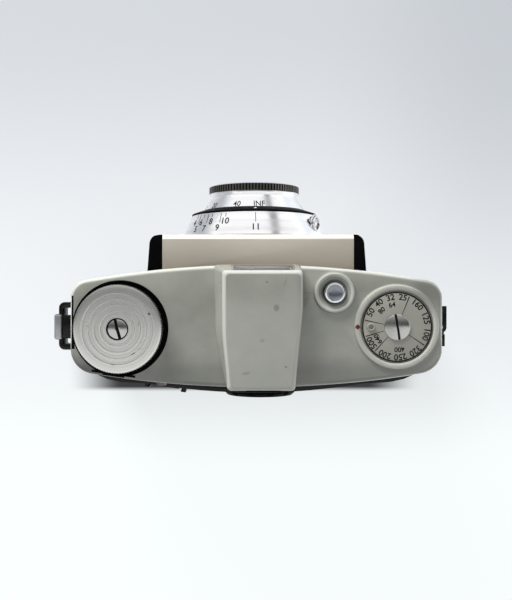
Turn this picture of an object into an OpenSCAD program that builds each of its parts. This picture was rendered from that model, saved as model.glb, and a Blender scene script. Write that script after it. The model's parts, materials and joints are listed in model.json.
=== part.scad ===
// Small viewfinder roll-film camera, in millimetres.
// +Z is up, the lens looks along -Y, and the photographer's right hand is at -X.
// The origin is the mouth of the tripod socket, in the middle of the base.

/* [Body] */
// Width of the top cover
body_w = 118; // [116:1:124]
// Height of the top plate above the base
plate_z = 66; // [64:1:72]
// Height of the top cover's skirt
skirt_h = 12; // [11:0.5:14]
// Reach of the cover's front ahead of the tripod socket
front_reach = 20.2; // [19.5:0.1:23]
// Reach of the cover's back behind the tripod socket
back_reach = 18.7; // [18:0.1:21]
// Radius of the long front curve, seen from above
front_curve = 310; // [260:10:400]
// Radius of the cover's long back curve, seen from above
back_curve = 320; // [260:10:400]
// Radius of the back door's curve, seen from above
door_curve = 205; // [190:5:260]
// Distance that the door stands behind the cover
door_bulge = 2.9; // [2.4:0.1:3.6]
// Radius of the two front corners
front_corner = 6; // [5:0.5:7]
// Radius of the two back corners
back_corner = 8; // [7:0.5:9]
// Thickness of the moulded walls
wall = 2; // [1.6:0.1:2.4]
// Rounding along the top edge of the cover
edge_round = 1.5; // [0.8:0.1:1.8]
// Step between the cover's skirt and the body below it
body_inset = 0.4; // [0.2:0.1:0.8]
// Thickness of the base
base_t = 3; // [2.5:0.1:4]

/* [Finder] */
// Height of the finder housing above the top plate
hump_h = 8.5; // [8:0.1:10]
// Width of the finder housing's top at the front
hump_front_w = 24.4; // [23:0.2:28]
// Width of the finder housing's top at the back
hump_back_w = 20.8; // [18:0.2:23]
// Middle of the finder housing along X
hump_x = -1.9; // [-3:0.1:0]
// Spread of the left flank from its top edge to the plate
hump_flank = 3.2; // [1:0.1:4]
// Width of the front window's clear opening
window_w = 18; // [14:0.5:19]
// Height of the finder's openings
window_h = 5.2; // [4.6:0.1:5.6]
// Width of the eyepiece's clear opening
eyepiece_w = 9; // [7:0.5:11]

/* [Lens block] */
// Depth of the block ahead of the cover's front
block_depth = 10.2; // [9.6:0.1:12]
// Width of the block where it meets the body
block_w = 71.2; // [70:0.2:76]
// Flare of each cheek from front to back
block_flare = 1.1; // [0.2:0.1:2]
// Height of the block
block_h = 53; // [52:0.5:56]
// Width of the pale front plate
face_w = 62; // [58:0.5:64]
// Thickness of the pale front plate
face_t = 1.2; // [0.8:0.1:1.5]

/* [Shutter and lens] */
// Radius of the numbered shutter housing at the front plate
housing_r = 24.9; // [24.5:0.1:25.5]
// Radius of the shutter housing at its front
housing_front_r = 21.9; // [21:0.1:23]
// Length of the shutter housing
housing_len = 7.9; // [7.5:0.1:9]
// Thickness of the black exposure ring
ring_t = 1.8; // [1.4:0.1:2.4]
// Radius of the focusing cone at the exposure ring
focus_rear_r = 17.5; // [16.5:0.1:19]
// Radius of the focusing cone under the knurled rim
focus_front_r = 14.7; // [14:0.1:15.2]
// Length of the focusing cone
focus_len = 5.1; // [4.5:0.1:6]
// Radius of the knurled rim
rim_r = 15.8; // [15.5:0.1:17]
// Width of the knurled rim
rim_len = 2.8; // [2.4:0.1:4]
// Number of ridges round the knurled rim
rim_teeth = 92; // [60:4:120]
// Outer radius of the fixed lens barrel
barrel_r = 12.4; // [12:0.1:12.8]
// Travel of the front cell from far to near
focus_travel = 1; // [0.6:0.1:1.2]
// Clear radius of the shutter opening
shutter_hole_r = 5.2; // [4:0.1:5.4]

/* [Film] */
// Width of the film
film_w = 35; // [34:0.5:35.5]
// Width of the picture frame
frame_w = 40; // [36:0.5:40.5]
// Height of the picture frame
frame_h = 28; // [24:0.5:28]
// Distance of the film plane behind the tripod socket
film_y = 11; // [10.5:0.1:12]
// Distance of each spool's axis from the middle
spool_x = 43.1; // [42.5:0.1:43.5]
// Radius of the spool's flanges
spool_r = 9.6; // [8.5:0.1:10]

/* [Winding knob] */
// Radius of the knob
knob_r = 13.85; // [13:0.05:14.2]
// Height of the knob's face above the top plate
knob_rise = 7; // [6.5:0.1:8]
// Number of ridges round the knob
knob_teeth = 110; // [80:5:130]
// Radius of the well round the knob
well_r = 15; // [14.6:0.1:15.2]
// Radius of the winding shaft
shaft_r = 3; // [2.6:0.1:3.2]

/* [Film dial] */
// Position of the film dial along X
dial_x = -44.3; // [-44.5:0.1:-43]
// Position of the film dial along Y
dial_y = -0.5; // [-1.5:0.1:0.5]
// Radius of the turning disc
dial_r = 11.3; // [10.5:0.1:11.5]
// Width of the raised ring round the disc
dial_ring_w = 1.9; // [1.5:0.1:2.1]

/* [Release] */
// Position of the release button along X
release_x = -24.6; // [-25:0.1:-24.2]
// Position of the release button along Y
release_y = -11.3; // [-11.6:0.1:-10]
// Radius of the button
button_r = 3.3; // [3:0.1:3.4]
// Radius of the raised guard ring round the button
guard_r = 6.45; // [6:0.05:6.8]
// Travel of the button
release_travel = 2.5; // [2:0.1:2.5]

/* [Tripod socket] */
// Radius of the socket's thread
socket_r = 3.175; // [3:0.025:3.3]
// Depth of the socket
socket_depth = 6; // [5:0.5:6.5]

/* [Hidden] */

$fn = 96;
curve_fn = 360;
small_fn = 32;

// Clearances: a running fit, parts that must not touch, and flat faces that slide
run = 0.06;
gap = 0.3;
slip = 0.1;
eps = 0.01;
// How far a corner's circle reaches past the long curve, so that the two cross cleanly
kiss = 0.01;

// Main levels and reaches
half_w = body_w / 2;
skirt_z = plate_z - skirt_h;
deck_t = 2;
deck_z = skirt_z - deck_t;
roof_z = plate_z - wall;
door_y = back_reach + door_bulge;
face_a = front_reach + block_depth;
step_h = 0.8;
split_y = 0;

// Film path
flange_t = 1;
film_play = 0.2;
flange_gap = film_w + film_play;
lens_z = deck_z - 0.4 - flange_t - flange_gap / 2;
gate_t = 1.2;
rail_h = 0.5;
partition_t = 1.5;
partition_x = frame_w / 2 + 0.8;
shelf_z = frame_h / 2 + 0.5;
post_r = 3;
pivot_r = 1.6;
spool_core_r = 3.6;
spool_low_z = lens_z - flange_gap / 2 - flange_t;

// Distances ahead of the socket along the lens axis
housing_a = face_a + housing_len;
ring_a = housing_a + slip + ring_t;
cone_a = ring_a + slip;
rim_a = cone_a + focus_len + 0.6;
rim_face_a = rim_a + rim_len;
block_wall = 2.5;
base_a = face_a - face_t;
works_r = 20.3;
works_a = base_a + 1.4;
cover_a = works_a + 2.8;
barrel_a = cover_a + 0.8;
barrel_end_a = rim_a - 1;
cell_r = barrel_r - 1.5;

// Hinge of the back door
hinge_r = 2;
hinge_x = -(half_w + 2.2);
hinge_pin_r = 0.8;
hinge_low = [base_t + 1.5, skirt_z - 13.7];
knuckle = 3.5;
door_knuckle = 5.5;
leaf_front = 7;
leaf_back = 6.4;
door_z0 = base_t + gap;
door_z1 = skirt_z - 0.25;
side_x = half_w - body_inset;
swing_r = side_x - wall - hinge_x - 0.2;

// Latch
latch_x = side_x + 1.6;
latch_y = -7.2;
latch_eye_r = 1.3;
latch_pin_r = 0.7;
latch_z = lens_z + 7;
latch_h = 9;
latch_out = side_x + 7.3;
strap_t = 1.4;
arm_t = 1.9;
latch_back = 7.7;
tab_w = 8.6;

// Levels of the release
stem_r = 1.7;
tip_r = 0.9;
cap_top = plate_z + 2.4;
cap_bottom = plate_z - 1.6;
pocket_z = cap_bottom - release_travel - gap;
clip_z = pocket_z - 2.6;
lever_z = lens_z + 12.5;
lever_y = -(face_a - 9.4);
lever_eye_r = 1.8;
lever_pin_r = 0.8;
stem_end = lever_z + lever_eye_r + 0.2;
lever_w = 2.4;
ear_r = 2.2;
foot_w = 7;

// Places of the screws that hold the cover, the block, the film gate and the shutter
screw_r = 0.9;
head_r = 1.7;
head_t = 1;
cover_screws = [[28.5, -10], [28.5, 7], [-31, -9.5], [-28.5, 7]];
block_screw_x = 28;
block_screw_dz = [-19.5, 17];
gate_screw_x = frame_w / 2 + 4.3;
gate_screw_dz = film_w / 2 - 1.3;
housing_screw_r = 22.3;
housing_screw_angles = [45, 135, 225, 315];

// Brass bush of the tripod socket, and its closed end
bush_r = 6;
bush_cap_r = 5;

// Lens elements and what holds them
front_glass_r = 8.3;
front_seat = 4.4;
front_ring_r = 9.6;
middle_glass_r = 7;
barrel_flange_r = 14;
rear_glass_r = 9;
rear_tube_r = 12.6;
rear_tube_len = 7.5;

// Middle of the finder's openings
window_z = plate_z + 3.9;

// Knob levels
well_z = plate_z - 1.6;
knob_z = plate_z + knob_rise;
knob_low = well_z + gap;
bush_z = well_z - 4.4;
pad_z = well_z - 2.6;
screw_head_r = 3.35;
key_t = 1.2;

// Film dial and the back's exposure dial
dial_top = plate_z + 0.9;
dial_screw_r = 1.5;
back_dial_x = -2;
back_dial_r = 12.4;
back_dial_t = 2;
pad_y = door_y + 0.1;
rivet_r = 1.5;

// Red window in the door
eye_x = 30;
eye_r = 4;
eye_turn = asin(eye_x / door_curve);
cover_travel = 9;

// Film release in the back skirt
nub_x = 30.5;
nub_z = plate_z - 6.6;
nub_r = 1.6;
nub_travel = 1;

black = "#17171a";
grey = "#a3a69d";
steel = "#b9bcc0";
dark_steel = "#5b5e62";
silver = "#d9dadb";
cream = "#e6ddcf";
brass = "#b99a52";
glass = "#9fc3d6";

function unit(v) = v / norm(v);
function front_y(x, i) = front_curve - front_reach - sqrt(pow(front_curve - i, 2) - x * x);
function skirt_y(x, i) = back_reach - back_curve + sqrt(pow(back_curve - i, 2) - x * x);

// The waste outside one rounded corner: its centre, the centre of the long curve, its radius
module corner_cut(centre, origin, r, side) {
    tip = centre + unit(centre - origin) * (r + 2);
    difference() {
        polygon([centre, [side + 2, centre[1]], [side + 2, tip[1]], tip]);
        translate(centre) circle(r);
    }
}

// Plan of the camera drawn in by i, with its back curve at back_y
module plan(i, back_y, back_r) {
    front_o = [0, front_curve - front_reach];
    back_o = [0, back_y - back_r];
    fx = half_w - front_corner;
    bx = half_w - back_corner;
    front_c = [fx, front_o[1] - sqrt(pow(front_curve - front_corner + kiss, 2) - fx * fx)];
    back_c = [bx, back_o[1] + sqrt(pow(back_r - back_corner + kiss, 2) - bx * bx)];
    difference() {
        intersection() {
            square([2 * (half_w - i), 120], center = true);
            translate(front_o) circle(front_curve - i, $fn = curve_fn);
            translate(back_o) circle(back_r - i, $fn = curve_fn);
        }
        for (m = [0, 1]) mirror([m, 0]) {
            corner_cut(front_c, front_o, front_corner - i, half_w - i);
            corner_cut(back_c, back_o, back_corner - i, half_w - i);
        }
    }
}

module cover_plan(i = 0) plan(i, back_reach, back_curve);
module body_plan(i = 0) plan(i + body_inset, door_y + body_inset, door_curve + body_inset);

// A convex outline with all its corners rounded
module rounded(points, r) {
    n = len(points);
    difference() {
        polygon(points);
        for (k = [0 : n - 1]) {
            p = points[k];
            u = unit(points[(k + n - 1) % n] - p);
            v = unit(points[(k + 1) % n] - p);
            half = acos(u * v) / 2;
            centre = p + unit(u + v) * r / sin(half);
            reach = r / tan(half);
            difference() {
                polygon([p - (u + v), p + u * reach, centre, p + v * reach]);
                translate(centre) circle(r, $fn = small_fn);
            }
        }
    }
}

function box_points(x0, y0, x1, y1) = [[x0, y0], [x1, y0], [x1, y1], [x0, y1]];

// Children drawn along +Z point ahead along the lens axis, with +Y up
module about_lens() {
    translate([0, 0, lens_z]) rotate([90, 0, 0]) children();
}

// A solid of revolution round the lens axis; points are [radius, distance ahead]
module turned(points) {
    about_lens() rotate_extrude() polygon(points);
}

// Children at an angle round the lens axis, counted from the top towards -X
module at_angle(angle) {
    about_lens() rotate([0, 0, angle]) children();
}

// A rim of flat-topped ridges
module ridged(r, depth, teeth) {
    step = 360 / teeth;
    polygon([
        for (k = [0 : teeth - 1], q = [[0, 0], [0.15, 1], [0.5, 1], [0.65, 0]])
            (r - depth * (1 - q[1])) * [cos((k + q[0]) * step), sin((k + q[0]) * step)]
    ]);
}

// An unbroken helical wire that stands on z = 0
module coil(mean_r, wire_r, height, turns) {
    steps = 16;
    sides = 6;
    last = turns * steps;
    points = [
        for (i = [0 : last], j = [0 : sides - 1])
            let (a = 360 * i / steps, b = 360 * j / sides, reach = mean_r + wire_r * cos(b))
            [reach * cos(a), reach * sin(a),
             wire_r + (height - 2 * wire_r) * i / last + wire_r * sin(b)]
    ];
    around = [
        for (i = [0 : last - 1], j = [0 : sides - 1])
            let (a = i * sides + j, b = i * sides + (j + 1) % sides)
            each [[a, b + sides, b], [a, a + sides, b + sides]]
    ];
    ends = [
        [for (j = [0 : sides - 1]) j],
        [for (j = [sides - 1 : -1 : 0]) last * sides + j]
    ];
    polyhedron(points, concat(around, ends));
}

// Screw with a slotted cheese head; its head stands on z = 0 and its shank goes down
module screw(shank_r, length, r, t) {
    translate([0, 0, -length]) cylinder(r = shank_r, h = length + eps, $fn = small_fn);
    difference() {
        cylinder(r = r, h = t, $fn = small_fn);
        translate([-r - 1, -r / 6, t / 2]) cube([2 * r + 2, r / 3, t]);
    }
}

module body_shell() color(black) {
    gate_back = film_y - gate_t;
    difference() {
        union() {
            linear_extrude(step_h) body_plan(step_h);
            translate([0, 0, step_h]) linear_extrude(base_t - step_h) body_plan();
            translate([0, 0, base_t]) linear_extrude(skirt_z - base_t) intersection() {
                difference() {
                    body_plan();
                    body_plan(wall);
                }
                translate([-half_w, -60]) square([body_w, 60 + split_y]);
            }
            translate([0, 0, deck_z]) linear_extrude(deck_t) intersection() {
                body_plan(wall / 2);
                translate([-half_w, -60]) square([body_w, 60 + split_y]);
            }
            translate([0, 0, deck_z]) linear_extrude(deck_t) intersection() {
                body_plan(wall + gap);
                translate([hinge_x, 0]) circle(swing_r, $fn = curve_fn);
            }
            translate([0, 0, base_t]) linear_extrude(deck_z - base_t) intersection() {
                difference() {
                    body_plan(wall + slip);
                    body_plan(wall + 1);
                }
                translate([-half_w, split_y - 1]) square([body_w, 3]);
                translate([hinge_x, 0]) circle(swing_r, $fn = curve_fn);
            }
            // Light tunnel: two partitions and two shelves
            for (m = [0, 1]) mirror([m, 0, 0]) {
                start_y = front_y(partition_x, body_inset) + wall / 2;
                translate([partition_x, start_y, base_t - eps])
                    cube([partition_t, gate_back - start_y, deck_z - base_t + 2 * eps]);
                for (dz = [-gate_screw_dz, gate_screw_dz])
                    translate([gate_screw_x, gate_back - 7, lens_z + dz]) rotate([-90, 0, 0])
                        cylinder(r = 2.2, h = 7, $fn = small_fn);
                for (dz = [-gate_screw_dz, gate_screw_dz])
                    translate([partition_x, gate_back - 7, lens_z + dz - 1.2])
                        cube([gate_screw_x - partition_x, 7, 2.4]);
            }
            for (dz = [-shelf_z - partition_t, shelf_z])
                translate([-partition_x - eps, front_y(0, body_inset) + wall / 2, lens_z + dz])
                    cube([2 * (partition_x + eps), gate_back - front_y(0, body_inset) - wall / 2,
                          partition_t]);
            // Boss round the tripod bush
            cylinder(r = 9, h = socket_depth + 1.4);
        }
        // Mouth of the light tunnel in the front wall
        translate([-partition_x, -60, lens_z - shelf_z]) cube([2 * partition_x, 60, 2 * shelf_z]);
        // Slot for the release lever
        translate([release_x - lever_w / 2 - 0.6, -60, lever_z - 3.4])
            cube([lever_w + 1.2, 50, 5.8]);
        translate([0, 0, -1]) cylinder(r = bush_r, h = socket_depth + 1);
        translate([0, 0, -1]) cylinder(r = bush_cap_r, h = socket_depth + 2);
        translate([spool_x, 0, deck_z - 1]) cylinder(r = shaft_r + run, h = deck_t + 2);
        translate([release_x, release_y, deck_z - 1])
            cylinder(r = stem_r + run, h = deck_t + 2, $fn = small_fn);
        for (p = cover_screws)
            translate([p[0], p[1], deck_z - 1]) cylinder(r = screw_r, h = deck_t + 2, $fn = small_fn);
        for (x = [-block_screw_x, block_screw_x], dz = block_screw_dz)
            translate([x, -30, lens_z + dz]) rotate([-90, 0, 0])
                cylinder(r = screw_r, h = 20, $fn = small_fn);
        for (x = [-gate_screw_x, gate_screw_x], dz = [-gate_screw_dz, gate_screw_dz])
            translate([x, gate_back - 5, lens_z + dz]) rotate([-90, 0, 0])
                cylinder(r = screw_r, h = 6, $fn = small_fn);
    }
}

// Plan of the finder housing's top; spread moves its left flank outwards
module hump_plan(i, spread) {
    left = hump_x + hump_front_w / 2;
    right = hump_x - hump_front_w / 2;
    taper = (hump_front_w - hump_back_w) / 2;
    front = front_y(hump_x, 0);
    back = back_reach + 0.2;
    rounded([
        [right + i, front + i], [left - i + spread, front + i],
        [left - i + spread * 0.9, 2], [left - i - taper + spread * 0.2, back - i],
        [right + i + taper, back - i], [right + i, 4]
    ], 1.2);
}

module top_cover() color(grey) {
    difference() {
        union() {
            hull() {
                translate([0, 0, skirt_z]) linear_extrude(skirt_h - edge_round) cover_plan();
                for (a = [30, 60, 90])
                    translate([0, 0, plate_z - edge_round * (1 - sin(a)) - eps]) linear_extrude(eps)
                        cover_plan(edge_round * (1 - cos(a)));
            }
            hull() {
                translate([0, 0, plate_z - 2]) linear_extrude(1) hump_plan(0, hump_flank);
                translate([0, 0, plate_z + hump_h - 1.4]) linear_extrude(eps) hump_plan(0, 0.2);
                translate([0, 0, plate_z + hump_h - 0.5]) linear_extrude(eps) hump_plan(0.4, 0);
                translate([0, 0, plate_z + hump_h - eps]) linear_extrude(eps) hump_plan(1.3, 0);
            }
            // Guard round the button and raised ring round the film dial
            translate([release_x, release_y, plate_z - 1]) rotate_extrude()
                polygon([[button_r + 0.6, 0], [guard_r, 0], [guard_r, 2], [guard_r - 0.6, 2.6],
                         [guard_r - 1, 2.6], [button_r + 0.6, 1.2]]);
            translate([dial_x, dial_y, plate_z - 1]) rotate_extrude()
                polygon([[dial_r + 0.2, 0], [dial_r + dial_ring_w + 0.15, 0],
                         [dial_r + dial_ring_w + 0.15, 1.8], [dial_r + dial_ring_w - 0.25, 2.2],
                         [dial_r + 0.6, 2.2], [dial_r + 0.2, 1.9]]);
        }
        difference() {
            translate([0, 0, skirt_z - 1]) linear_extrude(roof_z - skirt_z + 1) cover_plan(wall);
            // Pad under the knob, boss round the button, bosses for the screws
            translate([spool_x, 0, pad_z]) cylinder(r = well_r + 1.2, h = 9);
            translate([release_x, release_y, pocket_z - 2]) cylinder(r = button_r + 2, h = 12);
            for (p = cover_screws)
                translate([p[0], p[1], skirt_z]) cylinder(r = 2.6, h = skirt_h, $fn = small_fn);
            translate([dial_x, dial_y, plate_z - 7]) cylinder(r = 3.4, h = 9, $fn = small_fn);
        }
        // Finder tunnel
        hull() {
            translate([hump_x, -front_reach - 1, window_z]) rotate([-90, 0, 0])
                linear_extrude(eps) square([window_w, window_h], center = true);
            translate([hump_x, back_reach + 1, window_z]) rotate([-90, 0, 0])
                linear_extrude(eps) square([eyepiece_w, window_h], center = true);
        }
        translate([hump_x - window_w / 2 - 1, -front_reach - 5, window_z - 1 - window_h / 2])
            cube([window_w + 2, 6, window_h + 2]);
        translate([hump_x - eyepiece_w / 2 - 1, back_reach - 1, window_z - 1 - window_h / 2])
            cube([eyepiece_w + 2, 6, window_h + 2]);
        translate([spool_x, 0, well_z]) cylinder(r = well_r, h = 9);
        translate([spool_x, 0, pad_z - 1]) cylinder(r = shaft_r + 1.6, h = 9);
        translate([release_x, release_y, pocket_z]) cylinder(r = button_r + gap, h = 9);
        translate([release_x, release_y, pocket_z - 3])
            cylinder(r = stem_r + run, h = 9, $fn = small_fn);
        translate([dial_x, dial_y, plate_z - 6])
            cylinder(r = dial_screw_r, h = 9, $fn = small_fn);
        for (p = cover_screws)
            translate([p[0], p[1], skirt_z - 1]) cylinder(r = screw_r, h = 7, $fn = small_fn);
        translate([nub_x, 0, nub_z]) rotate([-90, 0, 0])
            cylinder(r = nub_r + run, h = 30, $fn = small_fn);
    }
}

module body_screws() color(steel) {
    for (p = cover_screws)
        translate([p[0], p[1], deck_z]) rotate([180, 0, 0]) screw(screw_r, 6, head_r, head_t);
    for (x = [-block_screw_x, block_screw_x], dz = block_screw_dz)
        translate([x, front_y(block_screw_x, body_inset + wall) + 0.2, lens_z + dz])
            rotate([-90, 0, 0]) screw(screw_r, 7.5, head_r, head_t);
    for (x = [-gate_screw_x, gate_screw_x], dz = [-gate_screw_dz, gate_screw_dz])
        translate([x, film_y, lens_z + dz]) rotate([90, 0, 0]) {
            cylinder(r1 = head_r, r2 = screw_r, h = 0.8, $fn = small_fn);
            cylinder(r = screw_r, h = 5, $fn = small_fn);
        }
    for (angle = housing_screw_angles)
        at_angle(angle) translate([0, housing_screw_r, base_a - block_wall]) rotate([180, 0, 0])
            screw(screw_r, 6, head_r, head_t);
}

module tripod_bush() color(brass) {
    difference() {
        union() {
            cylinder(r = bush_r, h = socket_depth);
            translate([0, 0, socket_depth]) cylinder(r = bush_cap_r, h = 1);
        }
        translate([0, 0, -1]) cylinder(r = socket_r, h = socket_depth + 1);
    }
}

module film_gate() color(dark_steel) {
    gate_w = 2 * gate_screw_x + 4.4;
    difference() {
        union() {
            translate([-gate_w / 2, film_y - gate_t, lens_z - film_w / 2 - 1])
                cube([gate_w, gate_t, film_w + 2]);
            for (dz = [-film_w / 2 - 1, film_w / 2])
                translate([-gate_w / 2, film_y - eps, lens_z + dz]) cube([gate_w, rail_h, 1]);
        }
        translate([-frame_w / 2, film_y - 3, lens_z - frame_h / 2]) cube([frame_w, 5, frame_h]);
        for (x = [-gate_screw_x, gate_screw_x], dz = [-gate_screw_dz, gate_screw_dz])
            translate([x, film_y, lens_z + dz]) rotate([90, 0, 0]) {
                cylinder(r1 = head_r, r2 = screw_r, h = 0.8, $fn = small_fn);
                translate([0, 0, -1]) cylinder(r = screw_r, h = 4, $fn = small_fn);
            }
    }
}

// Room taken by the cover and the body, for what stands against their fronts
module body_room() {
    translate([0, 0, skirt_z]) linear_extrude(skirt_h) cover_plan();
    linear_extrude(skirt_z) body_plan();
}

module lens_block() color(black) {
    half_h = block_h / 2;
    front_w = block_w / 2 - block_flare;
    face = face_a - 0.2;
    back = front_reach - 5;
    room = front_w - 3.6;
    difference() {
        union() {
            translate([0, 0, lens_z - half_h + 0.4]) linear_extrude(block_h - 0.8)
                rounded([[-front_w, -face], [front_w, -face], [block_w / 2, -back],
                         [-block_w / 2, -back]], 3);
        }
        // Seat of the front plate
        translate([-face_w / 2, -face_a - 1, lens_z - half_h - 1])
            cube([face_w, 1 + face_t, block_h + 2]);
        for (z = [lens_z + half_h - face_t, lens_z - half_h - 2])
            translate([-face_w / 2, -face_a - 1, z]) cube([face_w, 30, face_t + 2]);
        difference() {
            translate([-room, -base_a + block_wall, lens_z - half_h + 4])
                cube([2 * room, 40, block_h - 8]);
            for (x = [-block_screw_x, block_screw_x], dz = block_screw_dz)
                translate([x, 0, lens_z + dz]) rotate([90, 0, 0])
                    cylinder(r = 2.8, h = base_a, $fn = small_fn);
            // Ears that carry the pin of the release lever
            for (side = [-1, 1])
                translate([release_x + side * (lever_w / 2 + 0.9) - 0.6, lever_y - ear_r,
                           lever_z - ear_r])
                    cube([1.2, 2 * ear_r, lens_z + half_h - 4 - lever_z + ear_r + eps]);
        }
        body_room();
        turned([[0, 0], [13, 0], [13, face_a], [0, face_a]]);
        for (x = [-block_screw_x, block_screw_x], dz = block_screw_dz)
            translate([x, -base_a + 2, lens_z + dz]) rotate([-90, 0, 0])
                cylinder(r = screw_r, h = 20, $fn = small_fn);
        for (angle = housing_screw_angles)
            at_angle(angle) translate([0, housing_screw_r, base_a - block_wall - 1])
                cylinder(r = screw_r, h = 9, $fn = small_fn);
        translate([release_x - 5, lever_y, lever_z]) rotate([0, 90, 0])
            cylinder(r = lever_pin_r, h = 10, $fn = small_fn);
    }
}

// A bent plate: over the top, down the front and under the block
module front_plate() color(cream) {
    half_h = block_h / 2;
    difference() {
        translate([-face_w / 2, 0, lens_z]) rotate([90, 0, 90]) linear_extrude(face_w) difference() {
            rounded(box_points(-face_a, -half_h, 20, half_h), 2);
            polygon(box_points(-face_a + face_t, -half_h + face_t, 21, half_h - face_t));
        }
        body_room();
        translate([-50, -front_reach + 6, 0]) cube([100, 40, 80]);
        turned([[0, 0], [works_r + gap, 0], [works_r + gap, face_a + 1], [0, face_a + 1]]);
        for (angle = housing_screw_angles)
            at_angle(angle) translate([0, housing_screw_r, base_a - 1])
                cylinder(r = screw_r, h = 4, $fn = small_fn);
    }
}

// Pins of the aperture blades and of the shutter blade, from the lens axis
aperture_pin = [0, 13.5];
shutter_pin = [-12, -8];
blade_pin_r = 0.9;
blade_t = 0.3;
blade_eye_r = 2.2;

module shutter_base() color(dark_steel) {
    turned([[8.2, base_a], [works_r, base_a], [works_r, works_a], [6, works_a], [6, works_a - 0.8],
            [8.2, works_a - 0.8]]);
    turned([[rear_glass_r + 0.2, base_a - rear_tube_len], [rear_tube_r, base_a - rear_tube_len],
            [rear_tube_r, base_a], [rear_glass_r - 2, base_a], [rear_glass_r - 2, base_a - 1],
            [rear_glass_r + 0.2, base_a - 1]]);
    about_lens() for (p = [aperture_pin, shutter_pin])
        translate([p[0], p[1], works_a - eps]) cylinder(r = blade_pin_r, h = cover_a - works_a,
                                                        $fn = small_fn);
}

// One aperture blade: a half disc with a small notch, hung on the upper pin
module aperture_blade(side, layer_a) {
    about_lens() translate([0, 0, layer_a]) linear_extrude(blade_t) difference() {
        union() {
            intersection() {
                circle(8.6);
                translate([side > 0 ? -1.2 : -20, -20]) square([21.2, 40]);
            }
            translate([side > 0 ? -1.2 : -2.6, 4]) square([3.8, aperture_pin[1] - 4]);
            translate(aperture_pin) circle(blade_eye_r, $fn = small_fn);
        }
        circle(2.2, $fn = small_fn);
        translate(aperture_pin) circle(blade_pin_r + run, $fn = small_fn);
    }
}

module aperture_blade_left() color(dark_steel) aperture_blade(1, works_a + 0.4);
module aperture_blade_right() color(dark_steel) aperture_blade(-1, works_a + 1);

module shutter_blade() color(dark_steel) {
    about_lens() translate([0, 0, works_a + 1.8]) linear_extrude(blade_t) difference() {
        union() {
            circle(shutter_hole_r + 0.8);
            translate(shutter_pin) circle(blade_eye_r, $fn = small_fn);
            rotate([0, 0, atan2(shutter_pin[1], shutter_pin[0])])
                translate([0, -1.6]) square([norm(shutter_pin), 3.2]);
        }
        translate(shutter_pin) circle(blade_pin_r + run, $fn = small_fn);
    }
}

module shutter_cover() color(dark_steel) {
    turned([[shutter_hole_r, cover_a], [works_r - 0.1, cover_a], [works_r - 0.1, barrel_a],
            [shutter_hole_r, barrel_a]]);
}

// Place of the flash socket on the housing
flash_angle = 60;
flash_a = face_a + 4.5;
flash_r = 2.5;
drive_r = 16.5;
drive_pin_r = 0.8;
ring_turn = 76;

module shutter_housing() color(silver) {
    front_wall = 1.4;
    difference() {
        turned([[works_r, face_a], [housing_r, face_a], [housing_front_r, housing_a],
                [barrel_r, housing_a], [barrel_r, housing_a - front_wall],
                [works_r, housing_a - front_wall]]);
        flash_at(0) cylinder(r = flash_r, h = 40, $fn = small_fn);
        flash_at(23.35) cylinder(r = flash_r + 0.5, h = 20, $fn = small_fn);
        for (angle = housing_screw_angles)
            at_angle(angle) translate([0, housing_screw_r, face_a - 1])
                cylinder(r = screw_r, h = 4.1, $fn = small_fn);
        // Curved slot for the pin that the exposure ring drives
        about_lens() translate([0, 0, housing_a - 3]) rotate([0, 0, 180 - ring_turn - 4])
            rotate_extrude(angle = ring_turn + 8)
                translate([drive_r - 1.1, 0]) square([2.2, 4]);
    }
}

module lens_barrel() color(dark_steel) {
    seat_r = middle_glass_r + 0.1;
    hole_r = middle_glass_r - 1.2;
    turned([[hole_r, barrel_a], [barrel_flange_r, barrel_a], [barrel_flange_r, housing_a - 1.4],
            [barrel_r, housing_a - 1.4], [barrel_r, barrel_end_a], [cell_r + run, barrel_end_a],
            [cell_r + run, barrel_a + 4.6], [seat_r + 0.9, barrel_a + 4.6],
            [seat_r + 0.9, barrel_a + 3.4], [seat_r, barrel_a + 3.4], [seat_r, barrel_a + 1],
            [hole_r, barrel_a + 1]]);
}

// Lens faces are arcs: a chord of half height r at distance a, bulging by b
function arc_points(r, a, b) =
    [for (k = [0 : 8]) let (x = r * k / 8) [x, a + b * (1 - pow(x / r, 2))]];
function arc_back(r, a, b) = [for (p = [8 : -1 : 0]) arc_points(r, a, b)[p]];

module middle_lens() color(glass) {
    turned(concat(arc_back(middle_glass_r, barrel_a + 1.05, 0.7),
                  arc_points(middle_glass_r, barrel_a + 3.3, -0.9)));
}

module rear_lens() color(glass) {
    turned(concat(arc_back(rear_glass_r, base_a - 6.4, -0.4),
                  arc_points(rear_glass_r, base_a - 3.6, 1.1)));
}

module rear_retainer() color(black) {
    outer = rear_glass_r + 0.15;
    turned([[outer - 1.5, base_a - rear_tube_len], [outer, base_a - rear_tube_len],
            [outer, base_a - 6.5], [outer - 1.5, base_a - 6.5]]);
}

// Coaxial socket for a flash lead: sleeve, insulator and centre contact
module flash_at(r0) {
    at_angle(flash_angle) translate([0, 0, flash_a]) rotate([-90, 0, 0])
        translate([0, 0, r0]) children();
}

module flash_socket() color(silver) {
    flash_at(20.8) difference() {
        union() {
            cylinder(r = flash_r, h = 3.6, $fn = small_fn);
            translate([0, 0, 2.6]) cylinder(r = flash_r + 0.4, h = 0.6, $fn = small_fn);
        }
        translate([0, 0, -1]) cylinder(r = flash_r - 0.5, h = 6, $fn = small_fn);
    }
}

module flash_insulator() color(cream) {
    flash_at(20.8) difference() {
        cylinder(r = flash_r - 0.5, h = 1.8, $fn = small_fn);
        translate([0, 0, -1]) cylinder(r = 0.7, h = 6, $fn = small_fn);
    }
}

module flash_contact() color(brass) {
    flash_at(20.8) cylinder(r = 0.7, h = 3.2, $fn = small_fn);
}

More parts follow.
